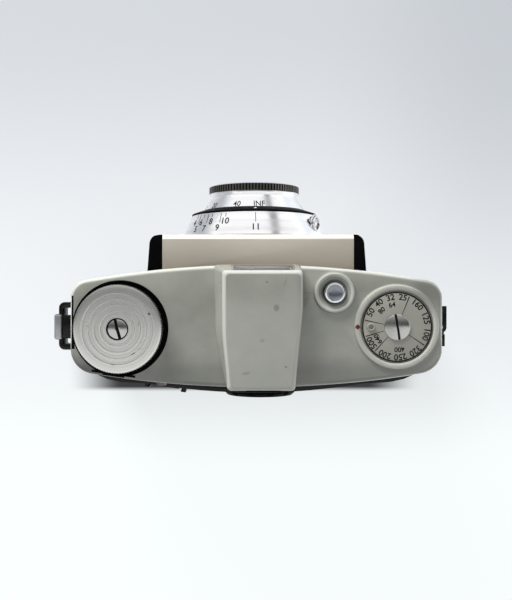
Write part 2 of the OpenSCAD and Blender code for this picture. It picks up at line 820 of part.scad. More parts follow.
module finder_frame() color(silver) {
    translate([hump_x, 0, window_z]) rotate([90, 0, 0])
        translate([0, 0, front_reach - 1]) linear_extrude(1.4) difference() {
            square([window_w + 2, window_h + 2], center = true);
            square([window_w, window_h], center = true);
        }
}

module finder_window() color(glass) {
    translate([hump_x - window_w / 2, -front_reach + 1, window_z - window_h / 2])
        translate([0, -1.4, 0]) cube([window_w, 0.8, window_h]);
}

module eyepiece_frame() color(black) {
    translate([hump_x, 0, window_z]) rotate([-90, 0, 0])
        translate([0, 0, back_reach - 1]) linear_extrude(1.6) difference() {
            square([eyepiece_w + 2, window_h + 2], center = true);
            square([eyepiece_w, window_h], center = true);
        }
}

module eyepiece_lens() color(glass) {
    translate([hump_x - eyepiece_w / 2, back_reach - 0.6, window_z - window_h / 2])
        cube([eyepiece_w, 0.8, window_h]);
}

module knob_bush() color(brass) {
    translate([spool_x, 0, 0]) rotate_extrude()
        polygon([[shaft_r + run, bush_z], [shaft_r + 3.4, bush_z], [shaft_r + 3.4, pad_z],
                 [shaft_r + 1.6, pad_z], [shaft_r + 1.6, well_z], [shaft_r + run, well_z]]);
}

// The wrap spring lets the shaft turn one way only; it hangs from the bush
module clutch_spring() color(steel) {
    translate([spool_x, 0, bush_z - 3.2]) coil(shaft_r + gap + 0.35, 0.3, 3.2, 4);
}

module spool_pivots() color(steel) {
    for (x = [-spool_x, spool_x]) translate([x, 0, base_t]) {
        cylinder(r = post_r, h = spool_low_z - 3 - gap - base_t, $fn = small_fn);
        cylinder(r = pivot_r, h = spool_low_z - 1 - base_t, $fn = small_fn);
    }
    translate([-spool_x, 0, deck_z - 1.1]) cylinder(r = post_r, h = 1.1, $fn = small_fn);
    translate([-spool_x, 0, deck_z - 3]) cylinder(r = pivot_r, h = 2.5, $fn = small_fn);
}

// Knuckles with their leaves, on the body's side (y < 0) or on the door's side
module leaf(z, h, y0, y1, hole_r) {
    translate([0, 0, z]) linear_extrude(h) difference() {
        union() {
            translate([hinge_x, 0]) circle(hinge_r, $fn = small_fn);
            translate([hinge_x - hinge_r, y0]) square([-side_x - hinge_x + hinge_r, y1 - y0]);
        }
        translate([hinge_x, 0]) circle(hole_r, $fn = small_fn);
    }
}

module body_hinge() color(black) {
    for (z = hinge_low, dz = [0, knuckle + door_knuckle + 2 * gap])
        leaf(z + dz, knuckle, -leaf_front, 0, hinge_pin_r);
}

module door_hinge() color(black) {
    for (z = hinge_low) leaf(z + knuckle + gap, door_knuckle, split_y + 0.15, leaf_back,
                             hinge_pin_r + run);
}

module hinge_pins() color(steel) {
    for (z = hinge_low) translate([hinge_x, 0, z])
        cylinder(r = hinge_pin_r, h = 2 * knuckle + door_knuckle + 2 * gap, $fn = small_fn);
    translate([latch_x, latch_y, latch_z - 2.4])
        cylinder(r = latch_pin_r, h = latch_h + 4.8, $fn = small_fn);
}

module latch_lugs() color(black) {
    for (z = [latch_z - 2.4, latch_z + latch_h + gap])
        translate([0, 0, z]) linear_extrude(2.1) difference() {
            union() {
                translate([latch_x, latch_y]) circle(latch_eye_r, $fn = small_fn);
                translate([side_x, latch_y - latch_eye_r])
                    square([latch_x - side_x, 2 * latch_eye_r]);
            }
            translate([latch_x, latch_y]) circle(latch_pin_r, $fn = small_fn);
        }
}

// Seen from above the strap is a U that bridges the joint between the body and the door
module latch_strap() color(black) {
    front = latch_y - 1.1;
    translate([0, 0, latch_z]) linear_extrude(latch_h) difference() {
        union() {
            difference() {
                rounded(box_points(latch_x - 8, front, latch_out, latch_back), 2);
                rounded(box_points(latch_x - 9, front + arm_t, latch_out - strap_t,
                                   latch_back - arm_t), 0.6);
                translate([latch_x - 9, front - 1]) square([8.5, latch_back - front + 2]);
            }
            translate([latch_x, latch_y]) circle(latch_eye_r, $fn = small_fn);
            translate([latch_x + 0.6, -tab_w / 2 + 0.4])
                square([latch_out - strap_t - latch_x - 0.5, tab_w - 0.8]);
        }
        translate([latch_x, latch_y]) circle(latch_pin_r + run, $fn = small_fn);
    }
}

module latch_tab() color(dark_steel) {
    translate([0, tab_w / 2, latch_z - 0.9]) rotate([90, 0, 0]) linear_extrude(tab_w) difference() {
        rounded(box_points(latch_out - strap_t, 0, latch_out + 1.5, latch_h + 1.8), 0.7);
        translate([latch_out - 5, 0.9]) square([5, latch_h]);
    }
}

module dial_screw() color(silver) {
    translate([dial_x, dial_y, 0]) {
        translate([0, 0, plate_z - 5.5])
            cylinder(r = dial_screw_r, h = 6.6, $fn = small_fn);
        difference() {
            translate([0, 0, dial_top + slip]) intersection() {
                cylinder(r = 4.05, h = 1.3);
                translate([0, 0, 1.3 - 9]) sphere(9);
            }
            rotate([0, 0, 10]) translate([-0.45, -6, dial_top + 0.6]) cube([0.9, 12, 3]);
        }
    }
}

module lever_pin() color(steel) {
    translate([release_x - lever_w / 2 - 1.5, lever_y, lever_z]) rotate([0, 90, 0])
        cylinder(r = lever_pin_r, h = lever_w + 3, $fn = small_fn);
}

module wind_knob() color(silver) {
    translate([spool_x, 0, 0]) difference() {
        union() {
            translate([0, 0, knob_low]) cylinder(r = knob_r - 1.1, h = 3);
            translate([0, 0, knob_low + 2]) linear_extrude(knob_z - knob_low - 2.8)
                ridged(knob_r, 0.35, knob_teeth);
            translate([0, 0, knob_z - 0.8]) rotate_extrude()
                polygon([[0, -1], [knob_r - 0.4, -1], [knob_r - 0.4, 0.3], [knob_r - 0.9, 0.8],
                         [0, 0.8]]);
        }
        // Turned grooves in the face
        for (r = [5.2 : 1.9 : knob_r - 2.5])
            translate([0, 0, knob_z]) rotate_extrude()
                polygon([[r - 0.25, 0.1], [r, -0.22], [r + 0.25, 0.1]]);
        translate([0, 0, knob_z - 1.8]) cylinder(r = screw_head_r + 0.1, h = 3);
        translate([0, 0, knob_low - 1]) cylinder(r = shaft_r, h = 5, $fn = small_fn);
        translate([0, 0, knob_low - 1]) cylinder(r = 1.45, h = 20, $fn = small_fn);
    }
}

module knob_screw() color(silver) {
    translate([spool_x, 0, knob_z - 1.8]) rotate([0, 0, 100]) screw(1.45, 5, screw_head_r, 1.6);
}

module wind_shaft() color(steel) {
    translate([spool_x, 0, 0]) {
        difference() {
            translate([0, 0, deck_z - 0.1])
                cylinder(r = shaft_r, h = knob_low + 4 - deck_z + 0.1, $fn = small_fn);
            translate([0, 0, knob_z - 7]) cylinder(r = 1.45, h = 9, $fn = small_fn);
        }
        // Collar above the deck and the key that turns the spool
        translate([0, 0, skirt_z + gap]) cylinder(r = shaft_r + 1.4, h = 1.4, $fn = small_fn);
        translate([-shaft_r + 0.4, -key_t / 2, deck_z - 3.6]) cube([2 * shaft_r - 0.8, key_t, 4]);
    }
}

module takeup_spool() color(black) {
    translate([spool_x, 0, 0]) difference() {
        union() {
            translate([0, 0, spool_low_z - 3])
                cylinder(r = spool_core_r, h = flange_gap + 2 * flange_t + 3, $fn = small_fn);
            for (z = [spool_low_z, spool_low_z + flange_gap + flange_t])
                translate([0, 0, z]) cylinder(r = spool_r, h = flange_t);
        }
        translate([0, 0, spool_low_z - 4]) cylinder(r = pivot_r + run, h = 3.6, $fn = small_fn);
        translate([-shaft_r, -key_t / 2 - 0.15, deck_z - 4]) cube([2 * shaft_r, key_t + 0.3, 5]);
        // Slot that takes the end of the film
        translate([-0.5, -5, lens_z - 9]) cube([1, 10, 18]);
    }
}

module release_button() color(silver) {
    translate([release_x, release_y, 0]) {
        rotate_extrude()
            polygon([[0, stem_end + tip_r], [tip_r, stem_end + tip_r], [tip_r, deck_z - 1],
                     [stem_r, deck_z - 0.4], [stem_r, cap_bottom], [button_r, cap_bottom],
                     [button_r, cap_top - 0.5], [button_r - 0.4, cap_top], [button_r - 0.9, cap_top],
                     [button_r - 1.6, cap_top - 0.4], [0, cap_top - 0.7]]);
        translate([0, 0, stem_end + tip_r]) sphere(tip_r, $fn = small_fn);
    }
}

module release_clip() color(steel) {
    translate([release_x, release_y, clip_z]) linear_extrude(0.5) difference() {
        circle(3, $fn = small_fn);
        circle(stem_r, $fn = small_fn);
        translate([0, -0.9]) square([4, 1.8]);
    }
}

module release_spring() color(steel) {
    translate([release_x, release_y, skirt_z]) coil(2.4, 0.25, clip_z - skirt_z, 4);
}

// Rocking lever: the stem presses its back arm, its front foot trips the shutter
module release_lever() color(steel) {
    back = release_y + 1.6;
    foot = -base_a + block_wall + 0.8;
    translate([release_x, 0, 0]) difference() {
        union() {
            translate([-lever_w / 2, lever_y, lever_z]) rotate([0, 90, 0])
                cylinder(r = lever_eye_r, h = lever_w, $fn = small_fn);
            translate([-lever_w / 2, lever_y, lever_z - 1])
                cube([lever_w, back - lever_y, 2]);
            translate([-lever_w / 2, release_y - 1.6, lever_z])
                cube([lever_w, 3.2, lever_eye_r]);
            translate([-lever_w / 2, foot, lever_z - 1]) cube([lever_w, lever_y - foot, 2]);
            translate([-lever_w / 2, foot, lever_z - 1]) cube([foot_w, 1.4, 2]);
        }
        translate([-lever_w, lever_y, lever_z]) rotate([0, 90, 0])
            cylinder(r = lever_pin_r + run, h = 2 * lever_w, $fn = small_fn);
    }
}

module exposure_ring() color(black) {
    turned([[barrel_r + run, housing_a + slip], [housing_front_r, housing_a + slip],
            [housing_front_r, housing_a + slip + 0.5], [focus_rear_r + 0.6, ring_a],
            [barrel_r + run, ring_a]]);
    // Pin that goes through the housing's slot to the aperture blades
    about_lens() rotate([0, 0, 180]) translate([drive_r, 0, barrel_a + 0.4])
        cylinder(r = drive_pin_r, h = housing_a + slip - barrel_a, $fn = small_fn);
}

module focus_ring() color(silver) {
    turned([[barrel_r + run, cone_a], [focus_rear_r, cone_a], [focus_front_r, cone_a + focus_len],
            [focus_front_r + 0.5, rim_a - 0.3], [focus_front_r + 0.5, rim_a], [barrel_r, rim_a],
            [barrel_r, barrel_end_a + 0.1], [barrel_r + run, barrel_end_a + 0.1]]);
    about_lens() translate([0, 0, rim_a - eps]) linear_extrude(rim_len - 0.3) difference() {
        ridged(rim_r, 0.4, rim_teeth);
        circle(cell_r + 1);
    }
    turned([[cell_r + 1, rim_face_a - 0.4], [rim_r - 0.6, rim_face_a - 0.4],
            [rim_r - 0.9, rim_face_a], [cell_r + 2.2, rim_face_a], [cell_r + 1, rim_face_a - 0.3]]);
    turned([[cell_r + gap, barrel_end_a + gap], [barrel_r + eps, barrel_end_a + gap],
            [barrel_r + eps, rim_a + 0.2], [cell_r + gap, rim_a + 0.2]]);
}

// Threaded cell that carries the front lens
module front_cell() color(black) {
    cell_face = rim_face_a - focus_travel - 0.5;
    hole_r = front_glass_r - 0.9;
    turned([[hole_r, barrel_a + 5.4], [cell_r, barrel_a + 5.4], [cell_r, cell_face],
            [front_ring_r, cell_face], [front_ring_r, cell_face - 1],
            [front_glass_r, cell_face - 1], [front_glass_r, cell_face - front_seat],
            [hole_r, cell_face - front_seat]]);
}

module front_lens() color(glass) {
    cell_face = rim_face_a - focus_travel - 0.5;
    turned(concat(arc_back(front_glass_r, cell_face - front_seat + 0.3, -0.3),
                  arc_points(front_glass_r, cell_face - 2.2, 1.2)));
}

module front_retainer() color(black) {
    cell_face = rim_face_a - focus_travel - 0.5;
    turned([[front_glass_r - 0.6, cell_face - 0.9], [front_ring_r, cell_face - 0.9],
            [front_ring_r, cell_face - 0.1], [front_glass_r + 0.3, cell_face - 0.1]]);
}

module film_dial() color(grey) {
    translate([dial_x, dial_y, 0]) difference() {
        union() {
            translate([0, 0, plate_z + slip]) rotate_extrude()
                polygon([[dial_screw_r + run, 0], [dial_r - 0.1, 0], [dial_r - 0.1, 0.5],
                         [dial_r - 0.4, dial_top - plate_z - slip],
                         [dial_screw_r + run, dial_top - plate_z - slip]]);
            // Finger stud
            translate([8.3, 0, dial_top - eps]) difference() {
                cylinder(r = 1.25, h = 0.9, $fn = small_fn);
                translate([0, 0, 0.6]) cylinder(r = 0.7, h = 1, $fn = small_fn);
            }
        }
    }
}

module back_door() color(black) {
    difference() {
        union() {
            translate([0, 0, door_z0]) linear_extrude(door_z1 - door_z0) difference() {
                body_plan();
                body_plan(wall);
                translate([-side_x - 9, -60]) square([2 * side_x + 18, 60.15 + split_y]);
            }
            // Round pad under the exposure dial
            translate([back_dial_x, pad_y - 2, lens_z]) rotate([-90, 0, 0])
                cylinder(r = back_dial_r + 1.8, h = 2);
            // Ridge that the latch strap snaps over
            translate([side_x - eps, 3.4, latch_z]) cube([0.8 + eps, 1.8, latch_h]);
        }
        at_eye() translate([0, 0, -4]) cylinder(r = eye_r, h = 8, $fn = small_fn);
        translate([back_dial_x, pad_y - 6, lens_z]) rotate([-90, 0, 0])
            cylinder(r = rivet_r, h = 9, $fn = small_fn);
    }
}

// Children on the door's outer face at the red window, with +Z outwards and +Y up
module at_eye() {
    translate([0, door_y - door_curve, lens_z]) rotate([0, 0, -eye_turn])
        translate([0, door_curve, 0]) rotate([-90, 180, 0]) children();
}

module red_window() color("#b3161b") {
    at_eye() translate([0, 0, -wall + 0.2]) cylinder(r = eye_r, h = 1, $fn = small_fn);
}

module window_track() color(steel) {
    at_eye() difference() {
        translate([-7, -7, 0.15]) cube([14, 14 + cover_travel, 1.5]);
        translate([-5.3, -5.3, -1]) cube([10.6, 20 + cover_travel, 4]);
        translate([-6, -5.9, 0.3]) cube([12, 20 + cover_travel, 0.8]);
    }
}

module window_cover() color(black) {
    at_eye() difference() {
        union() {
            translate([-5.8, -5.6, 0.4]) cube([11.6, 11, 0.6]);
            translate([-4, 1.5, 0.9]) cube([8, 1.2, 1.1]);
            translate([-4, 3.6, 0.9]) cube([8, 1.2, 1.1]);
        }
    }
}

module pressure_plate() color(dark_steel) {
    translate([-frame_w / 2 - 5, film_y + rail_h + 0.2, lens_z - film_w / 2 - 0.8])
        cube([frame_w + 10, 0.9, film_w + 1.6]);
}

// Two bowed leaf springs between the plate and the door
module pressure_springs() color(steel) {
    plate_back = film_y + rail_h + 1.1;
    depth = door_y - wall - plate_back;
    r = (pow(14, 2) + pow(depth - 1, 2)) / (2 * (depth - 1));
    for (dz = [-10, 7]) translate([0, 0, lens_z + dz]) linear_extrude(3.5) intersection() {
        translate([0, door_y - wall - 0.9 - r]) difference() {
            circle(r, $fn = 96);
            circle(r - 0.35, $fn = 96);
        }
        translate([-14, plate_back]) square([28, depth]);
    }
}

module scale_plate() color(silver) {
    translate([back_dial_x, pad_y, lens_z]) rotate([-90, 0, 0]) difference() {
        cylinder(r = back_dial_r + 1.4, h = 0.4);
        translate([0, 0, -1]) cylinder(r = rivet_r, h = 3, $fn = small_fn);
    }
}

module exposure_dial() color(black) {
    translate([back_dial_x, pad_y + 0.4 + slip, lens_z]) rotate([-90, 0, 0]) difference() {
        rotate_extrude()
            polygon([[rivet_r + run, 0], [back_dial_r, 0], [back_dial_r, 1], [back_dial_r - 1, 2],
                     [rivet_r + run, 2]]);
        // Scallops for the finger round the rim
        for (k = [0 : 11]) rotate([0, 0, k * 30 + 15]) translate([back_dial_r + 1.2, 0, -1])
            cylinder(r = 2, h = 4, $fn = small_fn);
    }
}

module dial_rivet() color(silver) {
    translate([back_dial_x, pad_y - 2.5, lens_z]) rotate([-90, 0, 0]) {
        cylinder(r = rivet_r, h = 2.9 + 2 * slip + back_dial_t, $fn = small_fn);
        translate([0, 0, 2.9 + 2 * slip + back_dial_t]) cylinder(r1 = 2.6, r2 = 2, h = 0.6,
                                                                $fn = small_fn);
    }
}

module film_release() color(silver) {
    tip = skirt_y(nub_x, 0) + nub_travel + gap;
    inner = skirt_y(nub_x, wall) - gap;
    translate([nub_x, 0, nub_z]) rotate([-90, 0, 0]) {
        translate([0, 0, inner - 2]) cylinder(r = nub_r, h = tip - inner + 2, $fn = small_fn);
        translate([0, 0, inner - 2]) cylinder(r = nub_r + 0.8, h = 1.4, $fn = small_fn);
    }
}

body_shell();
top_cover();
body_screws();
tripod_bush();
film_gate();
lens_block();
front_plate();
shutter_base();
shutter_cover();
shutter_housing();
lens_barrel();
middle_lens();
rear_lens();
rear_retainer();
flash_socket();
flash_insulator();
flash_contact();
finder_frame();
finder_window();
eyepiece_frame();
eyepiece_lens();
knob_bush();
clutch_spring();
spool_pivots();
body_hinge();
hinge_pins();
latch_lugs();
dial_screw();
lever_pin();
wind_knob();
knob_screw();
wind_shaft();
takeup_spool();
release_button();
release_clip();
release_spring();
release_lever();
shutter_blade();
aperture_blade_left();
aperture_blade_right();
exposure_ring();
focus_ring();
front_cell();
front_lens();
front_retainer();
film_dial();
back_door();
door_hinge();
pressure_springs();
pressure_plate();
scale_plate();
dial_rivet();
exposure_dial();
red_window();
window_track();
window_cover();
latch_strap();
latch_tab();
film_release();
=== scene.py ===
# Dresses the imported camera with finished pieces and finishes.
# Lengths are in mm and MM turns them into metres; colours are 8-bit screen colours.
import json
import math

import bmesh
import bpy
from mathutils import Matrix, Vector
from mathutils.kdtree import KDTree


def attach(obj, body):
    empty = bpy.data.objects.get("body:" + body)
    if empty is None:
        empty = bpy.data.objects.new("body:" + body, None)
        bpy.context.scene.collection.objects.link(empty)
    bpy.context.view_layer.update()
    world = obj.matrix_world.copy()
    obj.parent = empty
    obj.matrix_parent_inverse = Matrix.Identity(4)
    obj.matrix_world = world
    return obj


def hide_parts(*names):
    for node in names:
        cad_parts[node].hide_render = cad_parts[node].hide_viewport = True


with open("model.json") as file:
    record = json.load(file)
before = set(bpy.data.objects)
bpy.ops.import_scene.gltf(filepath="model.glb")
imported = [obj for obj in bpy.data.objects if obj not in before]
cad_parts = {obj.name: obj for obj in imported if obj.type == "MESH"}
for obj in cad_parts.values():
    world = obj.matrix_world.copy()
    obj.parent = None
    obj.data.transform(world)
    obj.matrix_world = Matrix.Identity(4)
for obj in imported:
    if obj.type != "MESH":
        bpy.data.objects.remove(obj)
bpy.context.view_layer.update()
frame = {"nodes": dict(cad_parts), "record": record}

MM = 0.001
MICRON = 0.000001
LENS_Z = 33.0
# The top plate, the film dial's face, and the finder's front, which leans back from its foot up
PLATE_Z = 66.0
DIAL_FACE = 66.9
FINDER_FOOT = 66.3
FINDER_RISE = 8.49
FINDER_LEAN = 0.28
FINDER_SETBACK = 0.45
# Centres in plan
KNOB = (43.1, 0.0)
DIAL = (-44.3, -0.5)
BUTTON = (-24.6, -11.3)
# Cones round the lens axis: a radius and its place ahead, then another
HOUSING_CONE = (24.86, 30.75, 21.98, 38.1)
EXPOSURE_CONE = (21.7, 39.0, 18.4, 40.12)
FOCUS_CONE = (17.5, 40.42, 14.75, 45.3)


# ---- Bench tools ----

def leave_edit():
    bpy.ops.object.mode_set(mode="OBJECT")


def deselect():
    if bpy.context.object and bpy.context.object.mode != "OBJECT":
        leave_edit()
    bpy.ops.object.select_all(action="DESELECT")


def pick(piece):
    deselect()
    piece.select_set(True)
    bpy.context.view_layer.objects.active = piece
    return piece


def newest(name):
    """The piece that an operator has just added, named."""
    piece = bpy.context.object
    piece.name = piece.data.name = name
    return piece


def edit(piece):
    pick(piece)
    bpy.ops.object.mode_set(mode="EDIT")
    bpy.ops.mesh.select_mode(type="VERT")
    bpy.ops.mesh.select_all(action="SELECT")


def tidy(piece):
    """Joins what meets, shuts what is open and turns every face outwards."""
    edit(piece)
    bpy.ops.mesh.remove_doubles(threshold=1e-7)
    bpy.ops.mesh.select_all(action="SELECT")
    bpy.ops.mesh.fill_holes(sides=0)
    bpy.ops.mesh.select_all(action="SELECT")
    bpy.ops.mesh.normals_make_consistent(inside=False)
    leave_edit()
    return piece


def stand(piece, place=(0, 0, 0), tilt=(0, 0, 0), turn=0):
    """Turns a piece about its own Z, tilts it, moves it to its place and applies all that."""
    pick(piece)
    bpy.ops.object.transform_apply()
    piece.rotation_euler = (0, 0, math.radians(turn))
    bpy.ops.object.transform_apply()
    piece.rotation_euler = [math.radians(a) for a in tilt]
    piece.location = Vector(place) * MM
    bpy.ops.object.transform_apply()
    return piece


def on_lens_axis(piece):
    """A piece drawn ahead along Z goes onto the lens axis."""
    return stand(piece, (0, 0, LENS_Z), (90, 0, 0))


def select_faces(piece, wanted):
    """In edit mode, selects the faces for which wanted(centre, normal) holds."""
    bpy.ops.mesh.select_all(action="DESELECT")
    bpy.ops.mesh.select_mode(type="FACE")
    bm = bmesh.from_edit_mesh(piece.data)
    for face in bm.faces:
        if wanted(face.calc_center_median() / MM, face.normal):
            face.select_set(True)
    bmesh.update_edit_mesh(piece.data)


def number_faces(piece, number, wanted):
    """Gives the faces for which wanted(centre, normal) holds the number of their finish."""
    edit(piece)
    select_faces(piece, wanted)
    bm = bmesh.from_edit_mesh(piece.data)
    for face in bm.faces:
        if face.select:
            face.material_index = number
    bmesh.update_edit_mesh(piece.data)
    leave_edit()
    return piece


def lathe(name, rings, steps=96):
    """A turned piece: a circle drawn out ring by ring; rings are (radius, height) in mm."""
    deselect()
    r, h = rings[0]
    bpy.ops.mesh.primitive_circle_add(vertices=steps, radius=r * MM, location=(0, 0, h * MM))
    piece = newest(name)
    edit(piece)
    for r1, h1 in rings[1:]:
        bpy.ops.mesh.extrude_region_move(TRANSFORM_OT_translate={"value": (0, 0, (h1 - h) * MM)})
        bpy.ops.transform.resize(value=(r1 / r, r1 / r, 1), center_override=(0, 0, h1 * MM))
        r, h = r1, h1
    leave_edit()
    stand(piece)
    return tidy(piece)


def rod(name, centre, r, low, high, steps=96):
    """An upright round bar on a centre in plan, for a cutter or a pin."""
    return stand(lathe(name, [(r, low), (r, high)], steps), (*centre, 0))


def loft(name, loops):
    """A piece drawn out loop by loop; every loop has the same number of (x, y, z) points in mm."""
    deselect()
    bpy.ops.mesh.primitive_circle_add(vertices=len(loops[0]), radius=10 * MM)
    piece = newest(name)
    for v, p in zip(piece.data.vertices, loops[0]):
        v.co = Vector(p) * MM
    edit(piece)
    for old, new in zip(loops, loops[1:]):
        bpy.ops.mesh.extrude_region_move()
        place = KDTree(len(old))
        for k, p in enumerate(old):
            place.insert(Vector(p) * MM, k)
        place.balance()
        bm = bmesh.from_edit_mesh(piece.data)
        for v in bm.verts:
            if v.select:
                v.co = Vector(new[place.find(v.co)[1]]) * MM
        bmesh.update_edit_mesh(piece.data)
    leave_edit()
    return tidy(piece)


def block(name, low, high):
    """A box between two corners in mm, for a cutter or the start of a piece."""
    deselect()
    bpy.ops.mesh.primitive_cube_add(size=1)
    piece = newest(name)
    piece.scale = [(b - a) * MM for a, b in zip(low, high)]
    piece.location = [(a + b) / 2 * MM for a, b in zip(low, high)]
    bpy.ops.object.transform_apply()
    return piece


def apply_modifier(piece, kind, **settings):
    pick(piece)
    mod = piece.modifiers.new(kind.lower(), kind)
    for key, value in settings.items():
        setattr(mod, key, value)
    bpy.ops.object.modifier_apply(modifier=mod.name)
    return piece


def combine(piece, tool, operation):
    apply_modifier(piece, "BOOLEAN", operation=operation, solver="EXACT", object=tool)
    bpy.data.objects.remove(tool)
    return piece


def cut(piece, *tools):
    for tool in tools:
        combine(piece, tool, "DIFFERENCE")
    return piece


def weld(piece, *tools):
    for tool in tools:
        combine(piece, tool, "UNION")
    return piece


def round_edges(piece, width, segments=3, angle=30):
    return apply_modifier(piece, "BEVEL", width=width * MM, segments=segments,
                          limit_method="ANGLE", angle_limit=math.radians(angle),
                          miter_outer="MITER_ARC")


def node_copy(node):
    """A copy of a CAD node's mesh with its triangles joined into whole faces."""
    deselect()
    piece = bpy.data.objects.new(node + "_finished", frame["nodes"][node].data.copy())
    bpy.context.scene.collection.objects.link(piece)
    edit(piece)
    bpy.ops.mesh.remove_doubles(threshold=2e-6)
    bpy.ops.mesh.select_all(action="SELECT")
    bpy.ops.mesh.dissolve_limited(angle_limit=math.radians(1))
    leave_edit()
    return piece


def coat(piece, materials, angle=35):
    """Shades a piece and gives it its finishes; each face keeps the number of its finish."""
    pick(piece)
    bpy.ops.object.shade_smooth_by_angle(angle=math.radians(angle))
    kinds = [face.material_index for face in piece.data.polygons]
    piece.data.materials.clear()
    for material in materials:
        piece.data.materials.append(material)
    piece.data.polygons.foreach_set("material_index", kinds)


def fit(piece, node, *materials, slot=None, angle=35):
    """Gives a finished piece its shading, finish and body, and lets it stand for its CAD node."""
    coat(piece, materials, angle)
    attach(piece, BODY_OF[node])
    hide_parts(node)
    return piece


def add_on(piece, node, material):
    """A small piece that sits on a node and moves with it."""
    coat(piece, [material])
    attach(piece, BODY_OF[node])
    return piece


BODY_OF = {node: body for body, nodes in frame["record"]["behaviour"]["bodies"].items()
           for node in nodes}


# ---- Finishes ----

def linear(r, g, b):
    """An 8-bit screen colour as a linear one."""
    return tuple(((c / 255 + 0.055) / 1.055) ** 2.4 if c > 10 else c / 255 / 12.92
                 for c in (r, g, b)) + (1.0,)


class Board:
    """Nodes of one tree, added and wired by name."""

    def __init__(self, tree):
        self.tree = tree

    def node(self, kind, **settings):
        made = self.tree.nodes.new(kind)
        for key, value in settings.items():
            if key in made.inputs:
                self.feed(made, key, value)
            else:
                setattr(made, key, value)
        return made

    def feed(self, node, socket, value):
        if hasattr(value, "is_output"):
            self.tree.links.new(value, node.inputs[socket])
        else:
            node.inputs[socket].default_value = value

    def axes(self, vector):
        return self.node("ShaderNodeSeparateXYZ", Vector=vector).outputs

    def noise(self, vector, scale, detail, **others):
        made = self.node("ShaderNodeTexNoise", Vector=vector, Scale=scale, Detail=detail, **others)
        return made.outputs[0]

    def maths(self, operation, a, b=None, c=None, clamp=False):
        made = self.tree.nodes.new("ShaderNodeMath")
        made.operation, made.use_clamp = operation, clamp
        for k, value in enumerate((a, b, c)):
            if value is not None:
                self.feed(made, k, value)
        return made.outputs[0]

    def ramp(self, value, low, high, to_low=0.0, to_high=1.0):
        """The value between low and high brought to to_low..to_high, softly."""
        made = self.tree.nodes.new("ShaderNodeMapRange")
        made.interpolation_type = "SMOOTHSTEP"
        for key, item in (("Value", value), ("From Min", low), ("From Max", high),
                          ("To Min", to_low), ("To Max", to_high)):
            self.feed(made, key, item)
        return made.outputs[0]

    def step(self, value, low, high, to_low=0.0, to_high=1.0):
        """A ramp whose two limits are in mm."""
        return self.ramp(value, low * MM, high * MM, to_low, to_high)

    def times(self, made, *factors):
        for factor in factors:
            made = self.maths("MULTIPLY", made, factor)
        return made

    def blend(self, mask, a, b):
        made = self.tree.nodes.new("ShaderNodeMix")
        made.data_type = "RGBA"
        self.feed(made, 0, mask)
        self.feed(made, 6, a)
        self.feed(made, 7, b)
        return made.outputs[2]

    def tint(self, paint, colour, *masks):
        """The paint under an 8-bit colour, as far as all the masks let it through."""
        return self.blend(self.times(*masks), paint, linear(*colour))


def group(name, inputs, outputs):
    """A new node group with named sockets; inputs are (name, kind, value)."""
    tree = bpy.data.node_groups.new(name, "ShaderNodeTree")
    for label, kind, value in inputs:
        socket = tree.interface.new_socket(label, in_out="INPUT", socket_type=kind)
        if value is not None:
            socket.default_value = value
    for label, kind in outputs:
        tree.interface.new_socket(label, in_out="OUTPUT", socket_type=kind)
    given = tree.nodes.new("NodeGroupInput").outputs
    return tree, Board(tree), given, tree.nodes.new("NodeGroupOutput")


FLOAT, VECTOR = "NodeSocketFloat", "NodeSocketVector"


def moulded_grain_group():
    """Fine mottled surface of a plastic moulding: height and a slow drift of tone."""
    tree, board, given, out = group(
        "moulded grain",
        [("Vector", VECTOR, None), ("Grain", FLOAT, 2500.0), ("Drift", FLOAT, 45.0)],
        [("Height", FLOAT), ("Tone", FLOAT)])
    slow = board.noise(given["Vector"], given["Drift"], 4.0, Roughness=0.6)
    board.feed(out, "Height", board.noise(given["Vector"], given["Grain"], 3.0))
    board.feed(out, "Tone", board.ramp(slow, 0.3, 0.7))
    return tree


def handling_marks_group():
    """Thin scratches and rare dark specks from use, each as a mask."""
    tree, board, given, out = group(
        "handling marks",
        [("Vector", VECTOR, None), ("Scratches", FLOAT, 0.5), ("Specks", FLOAT, 0.5)],
        [("Scratch", FLOAT), ("Speck", FLOAT)])
    lines = None
    for angle, offset in ((0.5, 0.0), (1.9, 0.7), (2.7, 1.3)):
        turned = board.node("ShaderNodeMapping", Vector=given["Vector"],
                            Rotation=(angle, angle * 0.7, angle), Scale=(1.0, 26.0, 1.0),
                            Location=(offset, 0.0, 0.0))
        middle = board.maths("SUBTRACT", board.noise(turned.outputs[0], 60.0, 1.0), 0.5)
        patch = board.noise(given["Vector"], 70.0 + 30 * angle, 0.0)
        line = board.times(board.ramp(board.maths("ABSOLUTE", middle), 0.0, 0.004, 1.0, 0.0),
                           board.ramp(patch, 0.62, 0.7))
        lines = line if lines is None else board.maths("MAXIMUM", lines, line)
    board.feed(out, "Scratch", board.maths("MULTIPLY", lines, given["Scratches"], clamp=True))
    cells = board.node("ShaderNodeTexVoronoi", Vector=given["Vector"], Scale=170.0, Randomness=1.0)
    dot = board.ramp(cells.outputs["Distance"], 0.035, 0.06, 1.0, 0.0)
    parts = board.node("ShaderNodeSeparateColor", Color=cells.outputs["Color"])
    rare = board.ramp(parts.outputs[0], 0.93, 0.94)
    board.feed(out, "Speck", board.maths("MULTIPLY", board.times(dot, rare), given["Specks"],
                                         clamp=True))
    return tree


